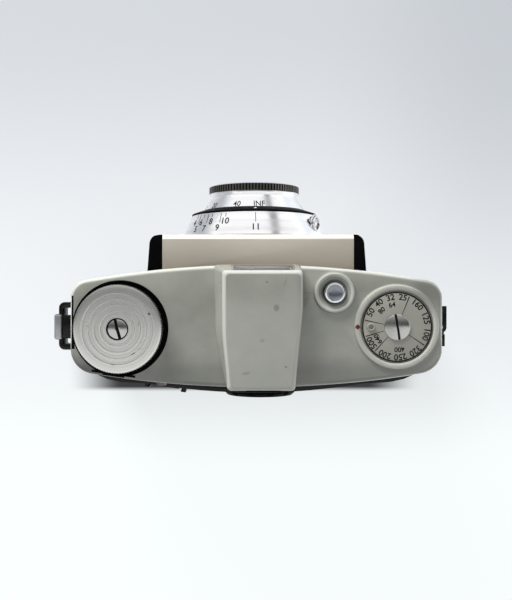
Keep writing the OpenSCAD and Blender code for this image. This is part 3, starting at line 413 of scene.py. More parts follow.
def turning_lines_group():
    """Rings left by a lathe tool round the Z axis of the vector: height and tone."""
    tree, board, given, out = group(
        "turning lines", [("Vector", VECTOR, None), ("Lines per metre", FLOAT, 6000.0)],
        [("Height", FLOAT), ("Tone", FLOAT)])
    x, y, z = board.axes(given["Vector"])
    radius = board.maths("SQRT", board.maths("ADD", board.times(x, x), board.times(y, y)))
    along = board.maths("ADD", radius, board.times(z, 0.9))
    lines = given["Lines per metre"]
    fine = board.node("ShaderNodeTexNoise", noise_dimensions="1D", Detail=3.0, Roughness=0.7,
                      W=board.times(along, lines), Scale=1.0)
    slow = board.node("ShaderNodeTexNoise", noise_dimensions="1D", Detail=2.0,
                      W=board.times(along, board.times(lines, 0.2)), Scale=1.0)
    board.feed(out, "Height", fine.outputs[0])
    board.feed(out, "Tone", board.ramp(slow.outputs[0], 0.3, 0.7))
    return tree


MOULDED_GRAIN = moulded_grain_group()
HANDLING = handling_marks_group()
TURNING = turning_lines_group()


def finish(name, **sockets):
    """A material with its Principled shader, its object coordinates and a board to wire it."""
    material = bpy.data.materials.new(name)
    material.use_nodes = True
    tree = material.node_tree
    shader = tree.nodes["Principled BSDF"]
    for key, value in sockets.items():
        shader.inputs[key.replace("_", " ")].default_value = value
    place = tree.nodes.new("ShaderNodeTexCoord").outputs["Object"]
    return material, Board(tree), shader, place


def use(board, tree, **values):
    """A node group placed in a material with its own values."""
    made = board.node("ShaderNodeGroup")
    made.node_tree = tree
    for key, value in values.items():
        board.feed(made, key.replace("_", " "), value)
    return made.outputs


def wear(made, look, marks, colours, rough, depth, touch_up, drift, scuff):
    """Colours a finish with its tone, scratches, specks and touching up; depth is in microns."""
    material, board, shader, place = made
    colour, tone, scratched, speckled = colours
    paint = board.tint(linear(*colour), tone, look["Tone"])
    paint = board.tint(paint, scratched, marks["Scratch"])
    paint = board.tint(paint, speckled, marks["Speck"])
    if touch_up:
        paint = touch_up(board, place, paint)
    board.feed(shader, "Base Color", paint)
    scuffed = board.maths("ADD", board.times(marks["Scratch"], scuff), rough)
    board.feed(shader, "Roughness", board.maths("ADD", board.times(look["Tone"], drift), scuffed))
    surface = board.node("ShaderNodeBump", Height=look["Height"], Distance=depth * MICRON)
    board.feed(shader, "Normal", surface.outputs[0])
    return material


def plastic(name, colour, tone, rough, grain=2500.0, depth=20, scratches=0.4, specks=0.0,
            scratch_colour=None, coat=0.0, coat_rough=0.25, shine=0.5, touch_up=None):
    """A moulded plastic: drifting tone, fine grain, scratches and specks, then any touching up."""
    made = finish(name, Specular_IOR_Level=shine, Coat_Weight=coat, Coat_Roughness=coat_rough,
                  IOR=1.48)
    board, place = made[1], made[3]
    look = use(board, MOULDED_GRAIN, Vector=place, Grain=grain)
    marks = use(board, HANDLING, Vector=place, Scratches=scratches, Specks=specks)
    return wear(made, look, marks, (colour, tone, scratch_colour or tone, (38, 34, 32)),
                rough, depth, touch_up, drift=0.08, scuff=0.15)


def metal(name, colour, tone, rough, lines=0.0, centre=(0, 0, 0), tilt=(0, 0, 0), depth=4,
          scratches=0.3, specks=0.0, touch_up=None):
    """A turned or plated metal; its lines are rings round an axis through centre."""
    made = finish(name, Metallic=1.0)
    board, place = made[1], made[3]
    marks = use(board, HANDLING, Vector=place, Scratches=scratches, Specks=specks)
    if lines:
        mapping = board.node("ShaderNodeMapping", vector_type="TEXTURE", Vector=place,
                             Location=tuple(c * MM for c in centre),
                             Rotation=tuple(math.radians(a) for a in tilt))
        look = use(board, TURNING, Vector=mapping.outputs[0], Lines_per_metre=lines)
    else:
        look = use(board, MOULDED_GRAIN, Vector=place, Grain=1800.0, Drift=90.0)
    return wear(made, look, marks, (colour, tone, (70, 68, 66), (30, 28, 27)),
                rough, depth, touch_up, drift=0.1, scuff=0.2)


def clear(name, colour, rough=0.02, ior=1.52, **coating):
    """Glass or clear plastic, with a little dust; coating holds the sockets of a coated one."""
    material, board, shader, place = finish(name, Base_Color=colour, Transmission_Weight=1.0,
                                            IOR=ior, **coating)
    dust = use(board, MOULDED_GRAIN, Vector=place, Grain=900.0, Drift=160.0)
    board.feed(shader, "Roughness", board.maths("MULTIPLY_ADD", dust["Tone"], 0.03, rough))
    return material


# The grey moulding's painted highlight on its edges, and its painted shade where it lies low
HIGHLIGHT_GREY = (205, 206, 198)
SHADED_GREY = (30, 31, 29)


def away_from(board, place, centre, stretch=(1, 1, 1), turn=0):
    """Distance from a point in mm, in metres; stretch draws the round spot out, turn turns it."""
    spot = board.node("ShaderNodeMapping", vector_type="TEXTURE", Vector=place,
                      Location=tuple(c * MM for c in centre), Scale=stretch,
                      Rotation=(0, 0, math.radians(turn)))
    length = board.node("ShaderNodeVectorMath", operation="LENGTH", Vector=spot.outputs[0])
    return length.outputs["Value"]


def old_marks(board, place, paint, height, marks):
    """Dark specks and scratches; a mark is (centre, half width, strength, stretch, turn)."""
    for centre, width, strength, *shape in marks:
        aside = away_from(board, place, (*centre, height), *shape)
        near = board.step(aside, 0.4 * width, width, strength, 0.0)
        paint = board.tint(paint, (62, 60, 56), near)
    return paint


def mark_knob(board, place, paint):
    return old_marks(board, place, paint, 72.9, (
        ((33.3, -4.7), 0.5, 0.95), ((38.2, 7.6), 0.22, 0.85, (5, 1, 1), 25),
        ((44.4, 11.0), 0.2, 0.7, (6, 1, 1)), ((36.5, -1.5), 0.14, 0.6, (1, 9, 1), -12),
        ((52.3, -1.0), 0.3, 0.5)))


def cover_marks_and_painted_light(board, place, paint):
    """The cover's edges and raised rings get painted highlights, its low parts, a corner and the
    guard's recess painted shade, and its top a few old marks.
    """
    x, y, z = board.axes(place)
    step, times, tint = board.step, board.times, board.tint
    upright = (1, 1, 1000)

    def between(low, high, edge):
        return times(step(z, low, low + edge), step(z, high - edge, high, 1.0, 0.0))

    top = step(z, 66.8, 67.2)
    # Painted reflection: the hump's top lighter towards the back
    paint = tint(paint, HIGHLIGHT_GREY, top, step(y, -13, -5), 0.22)
    # Painted shade: darker towards the back edge, on the +X side behind the front and at the +X
    # back end, but not on the hump's top
    shade = board.maths("MAXIMUM", step(y, 7, 14, 0.0, 0.3),
                        times(step(x, 10, 16, 0.0, 0.14), step(y, -16, -8)))
    shade = board.maths("ADD", shade, times(step(x, 40, 54), step(y, 5, 13, 0.0, 0.4)))
    paint = tint(paint, SHADED_GREY, shade, board.maths("SUBTRACT", 1.0, top))
    # Painted highlight along the hump's rounded top edges
    paint = tint(paint, HIGHLIGHT_GREY, between(73.3, 74.47, 0.1), 0.85)
    # Painted highlight along the cover's rounded front edge
    front = step(y, 2, 6, 1.0, 0.0)
    paint = tint(paint, (218, 219, 210), front, between(64.5, 65.99, 0.3), 0.7)
    # Painted highlight on the film dial's raised ring
    near_dial = step(away_from(board, place, (*DIAL, 66), upright), 14, 14.2, 1.0, 0.0)
    paint = tint(paint, (192, 192, 182), near_dial, step(z, 66.3, 66.5), 0.7)
    # Painted shade, a dark reflection, near the -X front corner
    corner = away_from(board, place, (-54.5, -11.5, 66), (1, 1.3, 1))
    paint = tint(paint, SHADED_GREY, step(corner, 2, 8, 0.35, 0.0))
    # Painted highlight on the guard's top edge, and painted shade in the recess inside it
    aside = away_from(board, place, (*BUTTON, 66), upright)
    guard = step(aside, 7, 7.2, 1.0, 0.0)
    paint = tint(paint, (205, 205, 197), guard, between(67.25, 67.7, 0.08), 0.6)
    paint = tint(paint, (60, 60, 57), step(aside, 4.0, 4.4, 0.5, 0.0))
    return old_marks(board, place, paint, 74.4, (
        ((-5.9, -6.6), 1.2, 0.36, (1, 1.2, 1)), ((-8.7, -14.6), 0.16, 0.75, (1, 19, 1), -14),
        ((-3.0, -14.5), 0.5, 0.45), ((-8.8, 11.5), 0.42, 0.7),
        ((-1.5, 3.5), 0.7, 0.2, (1.6, 1, 1), 20), ((3.4, 13.5), 0.6, 0.25, (3, 1, 1), 10)))


def plate_painted_light(board, place, paint):
    """Painted shade, darker and warmer towards the cover, on one side and lower down, with a
    painted highlight on the top front edge.
    """
    x, y, z = board.axes(place)
    # Painted shade towards the cover, on one side and lower down
    paint = board.tint(paint, (176, 166, 153), board.step(y, -29.5, -20.5))
    paint = board.tint(paint, (116, 111, 102), board.step(x, -5, 22, 0.0, 0.24))
    paint = board.tint(paint, (172, 164, 150), board.step(z, 55.5, 58.4, 1.0, 0.0))
    # Painted highlight on the top front edge
    return board.tint(paint, (255, 252, 243), board.step(y, -29.0, -28.6, 0.9, 0.0),
                      board.step(z, 58.2, 58.9))


GREY = plastic("grey moulding", (166, 167, 158), (149, 151, 142), 0.4,
               scratches=0.3, specks=0.5, scratch_colour=(110, 110, 104), depth=8,
               coat=0.8, coat_rough=0.12, shine=0.2, touch_up=cover_marks_and_painted_light)
BLACK = plastic("black moulding", (24, 24, 26), (30, 30, 32), 0.4, grain=1700.0,
                depth=30, scratches=0.5, scratch_colour=(66, 66, 68), shine=0.3)
DOOR_BLACK = plastic("door moulding", (13, 13, 14), (19, 19, 20), 0.38, grain=1700.0,
                     scratches=0.5, scratch_colour=(56, 56, 58), shine=0.25)
BLOCK_BLACK = plastic("black cheeks", (3, 3, 4), (6, 6, 7), 0.45, shine=0.04,
                      scratch_colour=(50, 50, 52), depth=8)
ENAMEL_BLACK = plastic("black enamel", (12, 12, 13), (17, 17, 18), 0.24, grain=900.0,
                       depth=6, scratches=0.6, scratch_colour=(80, 80, 82), shine=0.25)
CREAM = plastic("cream enamel", (203, 196, 184), (193, 186, 174), 0.32, grain=1200.0,
                depth=6, scratches=0.25, specks=0.5, scratch_colour=(140, 130, 118),
                coat=0.1, touch_up=plate_painted_light)
RING_BLACK = plastic("exposure ring black", (10, 10, 11), (15, 15, 16), 0.5, shine=0.05,
                     scratches=0.3, scratch_colour=(60, 60, 62), depth=6)
DIAL_GREY = plastic("dial enamel", (164, 163, 153), (153, 152, 143), 0.42,
                    grain=5200.0, depth=10, scratches=0.3, scratch_colour=(120, 116, 108),
                    coat=0.8, coat_rough=0.14, shine=0.2)
INK = plastic("black engraving", (16, 15, 15), (24, 23, 22), 0.5, scratches=0.0, shine=0.2)
WHITE_INK = plastic("white engraving", (232, 231, 226), (214, 212, 206), 0.5, scratches=0.0)
RED_INK = plastic("red engraving", (92, 16, 20), (76, 12, 16), 0.4, scratches=0.0)
SPOOL_BLACK = plastic("spool enamel", (22, 22, 23), (34, 34, 35), 0.45)

KNOB_METAL = metal("turned knob", (214, 214, 210), (196, 196, 192), 0.24, lines=7000.0,
                   centre=(*KNOB, 0), depth=6, specks=0.4, scratches=0.5, touch_up=mark_knob)
CONE_METAL = metal("turned cone", (246, 246, 247), (238, 238, 240), 0.16, lines=5000.0,
                   centre=(0, 0, LENS_Z), tilt=(90, 0, 0), depth=2, scratches=0.2)
CHROME = metal("bright plating", (232, 233, 236), (220, 221, 225), 0.1, depth=2)
BUTTON_METAL = metal("button plating", (138, 143, 150), (124, 129, 137), 0.22,
                     lines=9000.0, centre=(*BUTTON, 0), depth=3)
SCREW_METAL = metal("dull screw plating", (184, 184, 181), (166, 166, 164), 0.16, depth=3)
STEEL = metal("bright steel", (188, 189, 192), (170, 171, 175), 0.28)
DARK_STEEL = metal("blackened steel", (96, 98, 104), (78, 80, 86), 0.36)
KNURL_METAL = metal("worn knurl", (108, 106, 101), (92, 90, 86), 0.3)
# Painted shade for grooves, gaps and the floors of slots
GROOVE_SHADE_BLACK = plastic("painted shade in grooves", (14, 13, 12), (20, 19, 18), 0.6, shine=0.1)
TAB_STEEL = metal("worn dark steel", (176, 178, 182), (150, 152, 156), 0.34)
BRASS = metal("dull brass", (190, 160, 96), (168, 138, 78), 0.32)
GLASS = clear("coated lens glass", (0.98, 0.99, 1.0, 1), Coat_Weight=0.6,
              Coat_Roughness=0.03, Coat_Tint=(0.62, 0.62, 1.0, 1))
WINDOW = clear("clear window", (0.95, 0.97, 0.98, 1), rough=0.04, ior=1.49)
RED_WINDOW = clear("red window", (0.55, 0.01, 0.01, 1), rough=0.1, ior=1.49)


# ---- Outlines ----

def arc(cx, cy, r, start, end, steps):
    """Points on an arc, its angles in degrees, the last point left out."""
    turns = [math.radians(start + (end - start) * k / steps) for k in range(steps)]
    return [(cx + r * math.cos(t), cy + r * math.sin(t)) for t in turns]


def cover_outline(i):
    """Plan of the top cover drawn in by i: two long curves and four round corners."""
    half, front, back, near, far = 59.0, 310.0, 320.0, 6, 8
    front_y, back_y = front - 20.2, 18.7 - back
    fx, bx = half - near, half - far
    fy = front_y - math.sqrt((front - near) ** 2 - fx ** 2)
    by = back_y + math.sqrt((back - far) ** 2 - bx ** 2)
    f = math.degrees(math.atan2(fy - front_y, fx))
    b = math.degrees(math.atan2(by - back_y, bx))
    return (arc(0, front_y, front - i, -180 - f, f, 30) + arc(fx, fy, near - i, f, 0, 9)
            + arc(bx, by, far - i, 0, b, 10) + arc(0, back_y, back - i, b, 180 - b, 30)
            + arc(-bx, by, far - i, 180 - b, 180, 10) + arc(-fx, fy, near - i, 180, 180 - f, 9))


def rounded_outline(points, radii):
    """A convex outline with round corners, one radius for each."""
    made, steps = [], 5
    for k, (p, r) in enumerate(zip(points, radii)):
        p = Vector(p)
        u = (Vector(points[k - 1]) - p).normalized()
        v = (Vector(points[(k + 1) % len(points)]) - p).normalized()
        half = u.angle(v) / 2
        centre = p + (u + v).normalized() * r / math.sin(half)
        a = p + u * r / math.tan(half) - centre
        b = p + v * r / math.tan(half) - centre
        start, end = math.atan2(a.y, a.x), math.atan2(b.y, b.x)
        if end < start:
            end += 2 * math.pi
        turns = [start + (end - start) * j / steps for j in range(steps + 1)]
        made += [(centre.x + r * math.cos(t), centre.y + r * math.sin(t)) for t in turns]
    return made


def at_height(outline, z):
    return [(x, y, z) for x, y in outline]


def crown(r, steps=5):
    """Insets and drops of a round top edge, from the side to the top."""
    turns = [math.pi / 2 * k / steps for k in range(steps + 1)]
    return [(r * (1 - math.cos(t)), r * (1 - math.sin(t))) for t in turns]


def hump_outline(i, spread, lean=0.0):
    """The finder housing drawn in by i; spread moves its left flank out, lean its front back."""
    left, right, front, back = 10.35, -14.15, -20.19 + lean, 18.9
    corner, left_bend, right_bend = 1.2, 40, 30
    return rounded_outline([(right + i, front + i), (left - i + spread, front + i),
                            (left - i + spread * 0.9, 2),
                            (left - i - 1.4 + spread * 0.2, back - i),
                            (right + i + 2.5, back - i), (right + i, -5.7)],
                           (corner, corner, left_bend, corner, corner, right_bend))


def lean_back(piece):
    """Tilts a piece of the finder's front with the housing, whose front leans back."""
    for v in piece.data.vertices:
        v.co.y += (FINDER_SETBACK + FINDER_LEAN * (v.co.z / MM - FINDER_FOOT)) * MM
    return piece


# ---- Top cover ----

def make_cover():
    loops = [at_height(cover_outline(0.35), 54.0), at_height(cover_outline(0), 54.35)]
    loops += [at_height(cover_outline(i), PLATE_Z - drop) for i, drop in crown(1.5, 6)]
    cover = loft("top_cover_finished", loops)
    hump = [at_height(hump_outline(0, 3.2), 65.0), at_height(hump_outline(0, 3.05), 66.0)]
    for i, drop in crown(1.1):
        rise = FINDER_RISE - drop
        hump.append(at_height(hump_outline(i, 0.35 * drop, FINDER_LEAN * rise), PLATE_Z + rise))
    guard = lathe("guard", [(3.9, 65), (7.1, 65), (7.0, 66.0), (6.62, 66.16), (6.46, 66.5),
                            (6.42, 67.1), (6.24, 67.42), (5.9, 67.6), (5.55, 67.56), (5.1, 67.28),
                            (4.5, 66.86), (4.05, 66.55), (3.9, 66.3), (3.9, 65)])
    ring = lathe("ring", [(11.5, 65), (13.8, 65), (13.7, 66.0), (13.45, 66.18), (13.35, 66.5),
                          (13.28, 66.85), (13.05, 67.1), (12.6, 67.2), (12.1, 67.16), (11.7, 67.0),
                          (11.5, 66.75), (11.5, 65)])
    weld(cover, loft("hump", hump), stand(guard, (*BUTTON, 0)), stand(ring, (*DIAL, 0)))

    cavity = loft("cavity", [at_height(cover_outline(2), 53.5), at_height(cover_outline(2), 64.0)])
    cut(cavity, rod("pad", KNOB, 16.2, 61.8, 70), rod("boss", BUTTON, 5.3, 59.6, 70),
        rod("post", DIAL, 3.4, 59, 70, 32))
    well = lathe("well", [(15.0, 64.4), (15.0, 65.7), (15.2, 65.95), (15.5, 66.2), (15.5, 80)], 128)
    stand(well, (*KNOB, 0))
    bore = rod("bore", KNOB, 4.6, 60, 80, 48)
    pocket = rod("pocket", BUTTON, 3.6, 61.6, 80, 48)
    stem = rod("stem", BUTTON, 1.76, 50, 80, 32)
    screw = rod("screw", DIAL, 1.5, 50, 80, 32)
    tunnel = block("tunnel", (-10.9, -25, 67.3), (7.1, 25, 72.5))
    edit(tunnel)
    select_faces(tunnel, lambda c, n: n.y > 0.9)
    bpy.ops.transform.resize(value=(0.5, 1, 1), center_override=(-1.9 * MM, 0, 0))
    leave_edit()
    front = lean_back(block("front", (-11.7, -26, FINDER_FOOT), (7.9, -19.2, 73.5)))
    back = block("back", (-7.2, 17.7, FINDER_FOOT), (3.4, 26, 73.5))
    nub = stand(lathe("nub", [(1.66, 0), (1.66, 30)], 32), (30.5, 0, PLATE_Z - 6.6), (-90, 0, 0))
    cut(cover, cavity, well, bore, pocket, stem, screw, tunnel, front, back, nub)
    # The walls of the knob's well lie in shadow, which is painted on them as a black finish
    number_faces(cover, 1, lambda c, n: math.hypot(c.x - KNOB[0], c.y) < 15.45 and 64 < c.z < 65.99)
    fit(cover, "top_cover", GREY, BLOCK_BLACK, angle=32)


# ---- Winding knob ----

def knurl(piece, columns, inside, low, high, margin, depth):
    """Sinks every other face of a band of columns round the Z axis, worn on top and with painted
    shade inside.
    """
    edit(piece)
    step = 2 * math.pi / columns

    def in_band(c):
        return math.hypot(c.x, c.y) > inside and low < c.z < high

    select_faces(piece, lambda c, n: in_band(c) and math.atan2(c.y, c.x) // step % 2 == 0)
    bpy.ops.mesh.inset(use_individual=True, thickness=margin * MM, depth=-depth * MM)
    bm = bmesh.from_edit_mesh(piece.data)
    for face in bm.faces:
        if face.select:
            face.material_index = 2
        elif in_band(face.calc_center_median() / MM):
            face.material_index = 1
    bmesh.update_edit_mesh(piece.data)
    leave_edit()


KNOB_COLUMNS = 220


def flute(piece, inside, low, high, depth):
    """Draws every other column of the knob's rim in, so that its outline has teeth."""
    for v in piece.data.vertices:
        r = math.hypot(v.co.x, v.co.y)
        count = round(math.atan2(v.co.y, v.co.x) / (2 * math.pi) * KNOB_COLUMNS)
        if r > inside * MM and low * MM < v.co.z < high * MM and count % 2:
            share = 1 - depth * MM / r
            v.co.x, v.co.y = v.co.x * share, v.co.y * share


def slotted_dome(name, r, foot, edge, top, width, depth, turn):
    """A screw head: a low dome with a milled slot, with painted shade on its floor."""
    shares = [1 - k / 7 for k in range(1, 7)]
    dome = [(r * t, top - (top - edge) * t * t) for t in shares]
    head = lathe(name, [(r, foot), (r, edge)] + dome + [(0.2, top)], 72)
    cut(head, block("slot", (-r - 1, -width / 2, top - depth), (r + 1, width / 2, top + 1)))
    number_faces(round_edges(head, 0.05, 2, angle=40), 1,
                 lambda c, n: abs(c.y) < width / 2 and c.z < top - depth + 0.02 and n.z > 0.99)
    return stand(head, turn=turn)


def make_knob():
    top, fall, half_groove = 72.98, 0.16, 0.17

    def crowned(r):
        return top - fall * (r / 13.35) ** 2

    face = [(3.36, 71.2), (3.36, crowned(3.36) - 0.12), (3.46, crowned(3.46))]
    for groove in (5.24, 7.1, 9.0, 10.95):
        face += [(groove - half_groove, crowned(groove)), (groove, crowned(groove) - 0.15),
                 (groove + half_groove, crowned(groove))]
    rim = [(13.3, crowned(13.3)), (13.55, 72.74), (13.76, 72.6), (13.85, 72.4), (13.85, 67.0),
           (13.4, 66.7), (12.75, 66.7), (12.75, 64.7)]
    knob = lathe("wind_knob_finished", face + rim, KNOB_COLUMNS)
    flute(knob, 13.7, 66.8, 72.7, 0.42)
    # Painted shade in the gap round the screw
    number_faces(knob, 2, lambda c, n: math.hypot(c.x, c.y) < 3.41 and c.z > 70)
    fit(stand(knob, (*KNOB, 0)), "wind_knob", KNOB_METAL, KNOB_METAL, GROOVE_SHADE_BLACK, angle=20)


def make_screws():
    for node, centre, *sizes in (("knob_screw", KNOB, 3.04, 71.25, 72.5, 72.85, 0.95, 0.8, 105),
                                 ("dial_screw", DIAL, 4.06, 66.93, 67.6, 68.15, 0.75, 0.6, 99)):
        head = slotted_dome(node + "_finished", *sizes)
        fit(stand(head, (*centre, 0)), node, SCREW_METAL, GROOVE_SHADE_BLACK, angle=30)


# ---- Figures, lines and indexes ----

def lettering(words, height, bold=0.03, width=1.0):
    """Plain figures as a mesh in mm, centred, lying in XY with a little thickness."""
    deselect()
    bpy.ops.object.text_add()
    text = bpy.context.object
    text.data.body = words
    text.data.size = height * 1.4
    text.data.align_x, text.data.align_y = "CENTER", "CENTER"
    text.data.extrude = 0.02
    text.data.offset = bold
    text.data.resolution_u = 3
    bpy.ops.object.convert(target="MESH")
    text = bpy.context.object
    for v in text.data.vertices:
        v.co.x *= width
    return text


def stroke(width, length):
    """A straight line as a thin strip in mm, centred, along Y."""
    deselect()
    bpy.ops.mesh.primitive_grid_add(x_subdivisions=2, y_subdivisions=8, size=1)
    strip = bpy.context.object
    strip.scale = (width, length, 1)
    bpy.ops.object.transform_apply()
    edit(strip)
    bpy.ops.mesh.extrude_region_move(TRANSFORM_OT_translate={"value": (0, 0, 0.02)})
    leave_edit()
    return tidy(strip)


def diamond(name, radius, rim, rise):
    """A small square index in mm, flat in XY with a point ahead, its middle raised."""
    deselect()
    bpy.ops.mesh.primitive_circle_add(vertices=4, radius=radius, fill_type="NGON")
    index = newest(name)
    edit(index)
    bpy.ops.mesh.inset(thickness=rim, depth=rise)
    leave_edit()
    return index


# A mark lies this far above what carries it
MARK_LIFT = 0.005


def wrap_on_cone(mark, angle, ahead, r0, a0, r1, a1):
    """Lays a flat mark on a cone round the lens axis, its top ahead; angle is towards -X."""
    slope = math.atan2(r1 - r0, a1 - a0)
    for v in mark.data.vertices:
        a = ahead + v.co.y * math.cos(slope)
        r = r0 + (r1 - r0) * (a - a0) / (a1 - a0)
        turn = math.radians(angle) + v.co.x / r
        r += MARK_LIFT + v.co.z * math.cos(slope)
        a -= v.co.z * math.sin(slope)
        v.co = Vector((-r * math.sin(turn), -a, LENS_Z + r * math.cos(turn))) * MM
    return mark


def lay_flat(mark, angle, reach, z):
    """Lays a flat mark on the film dial, its foot towards the middle; angle is from +X."""
    for v in mark.data.vertices:
        turn = math.radians(angle) - v.co.x / reach
        r = reach + v.co.y
        v.co = Vector((DIAL[0] + r * math.cos(turn), DIAL[1] + r * math.sin(turn),
                       z + v.co.z + MARK_LIFT)) * MM
    return mark


def gather(name, marks, node):
    """Joins engraved marks into one piece that rides with a node."""
    deselect()
    for mark in marks:
        mark.select_set(True)
    bpy.context.view_layer.objects.active = marks[0]
    bpy.ops.object.join()
    add_on(newest(name), node, INK)


# ---- Lens and shutter ----

def make_shutter_housing():
    housing = lathe("shutter_housing_finished", [
        (20.3, 30.4), (24.75, 30.4), (24.9, 30.52), (24.86, 30.75), (21.98, 38.1), (21.8, 38.3),
        (12.42, 38.3), (12.42, 36.9), (20.3, 36.9), (20.3, 30.4)], 160)
    on_lens_axis(housing)
    fit(housing, "shutter_housing", CONE_METAL, angle=30)
    marks = []
    upper, lower = (35.1, 1.4), (32.9, 3.4)
    for words, angle, tick_angle, (ahead, length) in (
            ("11", 0, 0, lower), ("10", -26, -26, upper), ("9", -32, -30.6, lower),
            ("8", -40, -40, upper), ("7", -46, -44.6, lower), ("6", -52, -50, upper),
            ("5", -57, -55.5, lower), ("4", -62, -60, upper)):
        marks.append(wrap_on_cone(lettering(words, 2.25, 0.05), angle, ahead, *HOUSING_CONE))
        marks.append(wrap_on_cone(stroke(0.2, length), tick_angle, 38.0 - length / 2,
                                  *HOUSING_CONE))
    gather("exposure_figures", marks, "shutter_housing")


def make_flash_socket():
    socket = lathe("flash_socket_finished", [
        (2.02, 0.2), (2.6, 0.2), (2.6, 2.1), (2.45, 2.15), (2.45, 2.45), (3.1, 2.5), (3.2, 2.6),
        (3.2, 2.95), (3.08, 3.08), (2.84, 3.1), (2.8, 2.98), (2.62, 2.98), (2.6, 3.45),
        (2.45, 3.58), (2.2, 3.6), (2.02, 3.45), (2.02, 0.2)], 64)
    # Painted shade in the grooves between its rings
    number_faces(socket, 1, lambda c, n: 2.1 < c.z < 3.0 and math.hypot(c.x, c.y) < 2.82)
    lean, out = 60, 20.8
    aside, up = out * math.sin(math.radians(lean)), out * math.cos(math.radians(lean))
    stand(socket, (-aside, -34.9, LENS_Z + up), (0, -lean, 0))
    fit(socket, "flash_socket", CHROME, GROOVE_SHADE_BLACK, angle=30)


def make_exposure_ring():
    ring = lathe("exposure_ring_finished", [
        (12.46, 38.4), (21.75, 38.4), (21.9, 38.5), (21.9, 38.85), (21.7, 39.0), (18.4, 40.12),
        (18.1, 40.2), (12.46, 40.2), (12.46, 38.4)], 160)
    on_lens_axis(ring)
    pin = rod("pin", (-16.5, 0), 0.8, 34.6, 38.6, 24)
    fit(weld(ring, on_lens_axis(pin)), "exposure_ring", RING_BLACK, angle=30)
    index = wrap_on_cone(diamond("exposure_index", 0.6, 0.12, 0.02), 0, 39.55, *EXPOSURE_CONE)
    add_on(index, "exposure_ring", WHITE_INK)


def make_focus_ring():
    focus = lathe("focus_ring_finished", [
        (12.46, 40.3), (17.3, 40.3), (17.5, 40.42), (14.75, 45.3), (14.78, 45.5), (15.15, 45.75),
        (15.7, 45.92), (15.8, 46.05), (15.8, 48.4), (15.55, 48.62), (15.1, 48.78), (14.7, 48.8),
        (13.2, 48.8), (12.7, 48.62), (11.9, 48.1), (11.9, 46.2), (11.2, 46.2), (11.2, 45.3),
        (12.46, 45.3), (12.46, 40.3)], 184)
    # The knurl's sunk faces take painted shade
    knurl(focus, 184, 15.5, 46.1, 48.3, 0.05, 0.35)
    fit(on_lens_axis(focus), "focus_ring", CONE_METAL, KNURL_METAL, GROOVE_SHADE_BLACK, angle=28)
    marks = [wrap_on_cone(lettering(words, 2.1, width=0.9), angle, 41.3, *FOCUS_CONE)
             for words, angle in (("INF", 4.5), ("40", -21), ("20", -54), ("12", -84), ("8", -120),
                                  ("6", -158), ("5", -196), ("4", -236), ("3", -280))]
    gather("distance_figures", marks, "focus_ring")


# ---- Film dial and release ----

def make_film_dial():
    disc = lathe("film_dial_finished", [
        (1.56, 66.1), (11.1, 66.1), (11.2, 66.3), (11.16, 66.62), (11.0, 66.74), (10.98, 66.6),
        (10.62, 66.6), (10.6, 66.84), (10.46, 66.9), (1.56, 66.9), (1.56, 66.1)], 128)
    stud = lathe("stud", [(0.7, 66.8), (1.3, 66.8), (1.28, 67.6), (1.15, 67.8), (0.95, 67.84),
                          (0.78, 67.76), (0.7, 67.6), (0.7, 66.8)], 40)
    weld(disc, stand(stud, (8.3, 0, 0)))
    fit(stand(disc, (*DIAL, 0)), "film_dial", DIAL_GREY, angle=30)
    # Painted shade: a black ring in the groove at the dial's edge
    groove = lathe("dial_groove_shade", [(10.63, 66.56), (11.08, 66.56), (11.08, 66.76),
                                       (10.63, 66.76), (10.63, 66.56)], 128)
    add_on(stand(groove, (*DIAL, 0)), "film_dial", INK)
    marks = [lay_flat(stroke(0.24, 6.0), angle, 7.3, DIAL_FACE)
             for angle in (248, 146, 47.3, 16.7, -11.9)]
    outer, inner = (9.45, 1.9), (7.1, 1.55)
    for words, angle, (reach, height) in (
            ("25", 259, outer), ("32", 283, outer), ("40", 307, outer), ("50", 331, outer),
            ("64", 283, inner), ("80", 313, inner), ("100", 166, outer), ("125", 197, outer),
            ("160", 228, outer), ("200", 66, outer), ("250", 96, outer), ("320", 127, outer),
            ("400", 96, inner), ("500", 32, outer), ("640", 32, inner)):
        marks.append(lay_flat(lettering(words, height, 0.05), angle, reach, DIAL_FACE))
    gather("film_dial_figures", marks, "film_dial")
    index = lay_flat(diamond("film_index", 0.9, 0.3, 0.03), 0, 12.45, 67.19)
    add_on(index, "top_cover", RED_INK)


def make_button():
    button = lathe("release_button_finished", [
        (0.4, 47.9), (0.9, 48.3), (0.9, 51.0), (1.7, 51.6), (1.7, 64.4), (3.1, 64.4), (3.36, 64.6),
        (3.36, 67.7), (3.3, 68.1), (3.12, 68.36), (2.86, 68.4), (2.68, 68.28), (2.35, 68.0),
        (1.5, 67.74), (0.7, 67.66)], 72)
    number_faces(button, 1, lambda c, n: math.hypot(c.x, c.y) < 2.75 and c.z > 67)
    fit(stand(button, (*BUTTON, 0)), "release_button", CHROME, BUTTON_METAL, angle=40)


# ---- Nodes that keep their shape, with their edges broken ----

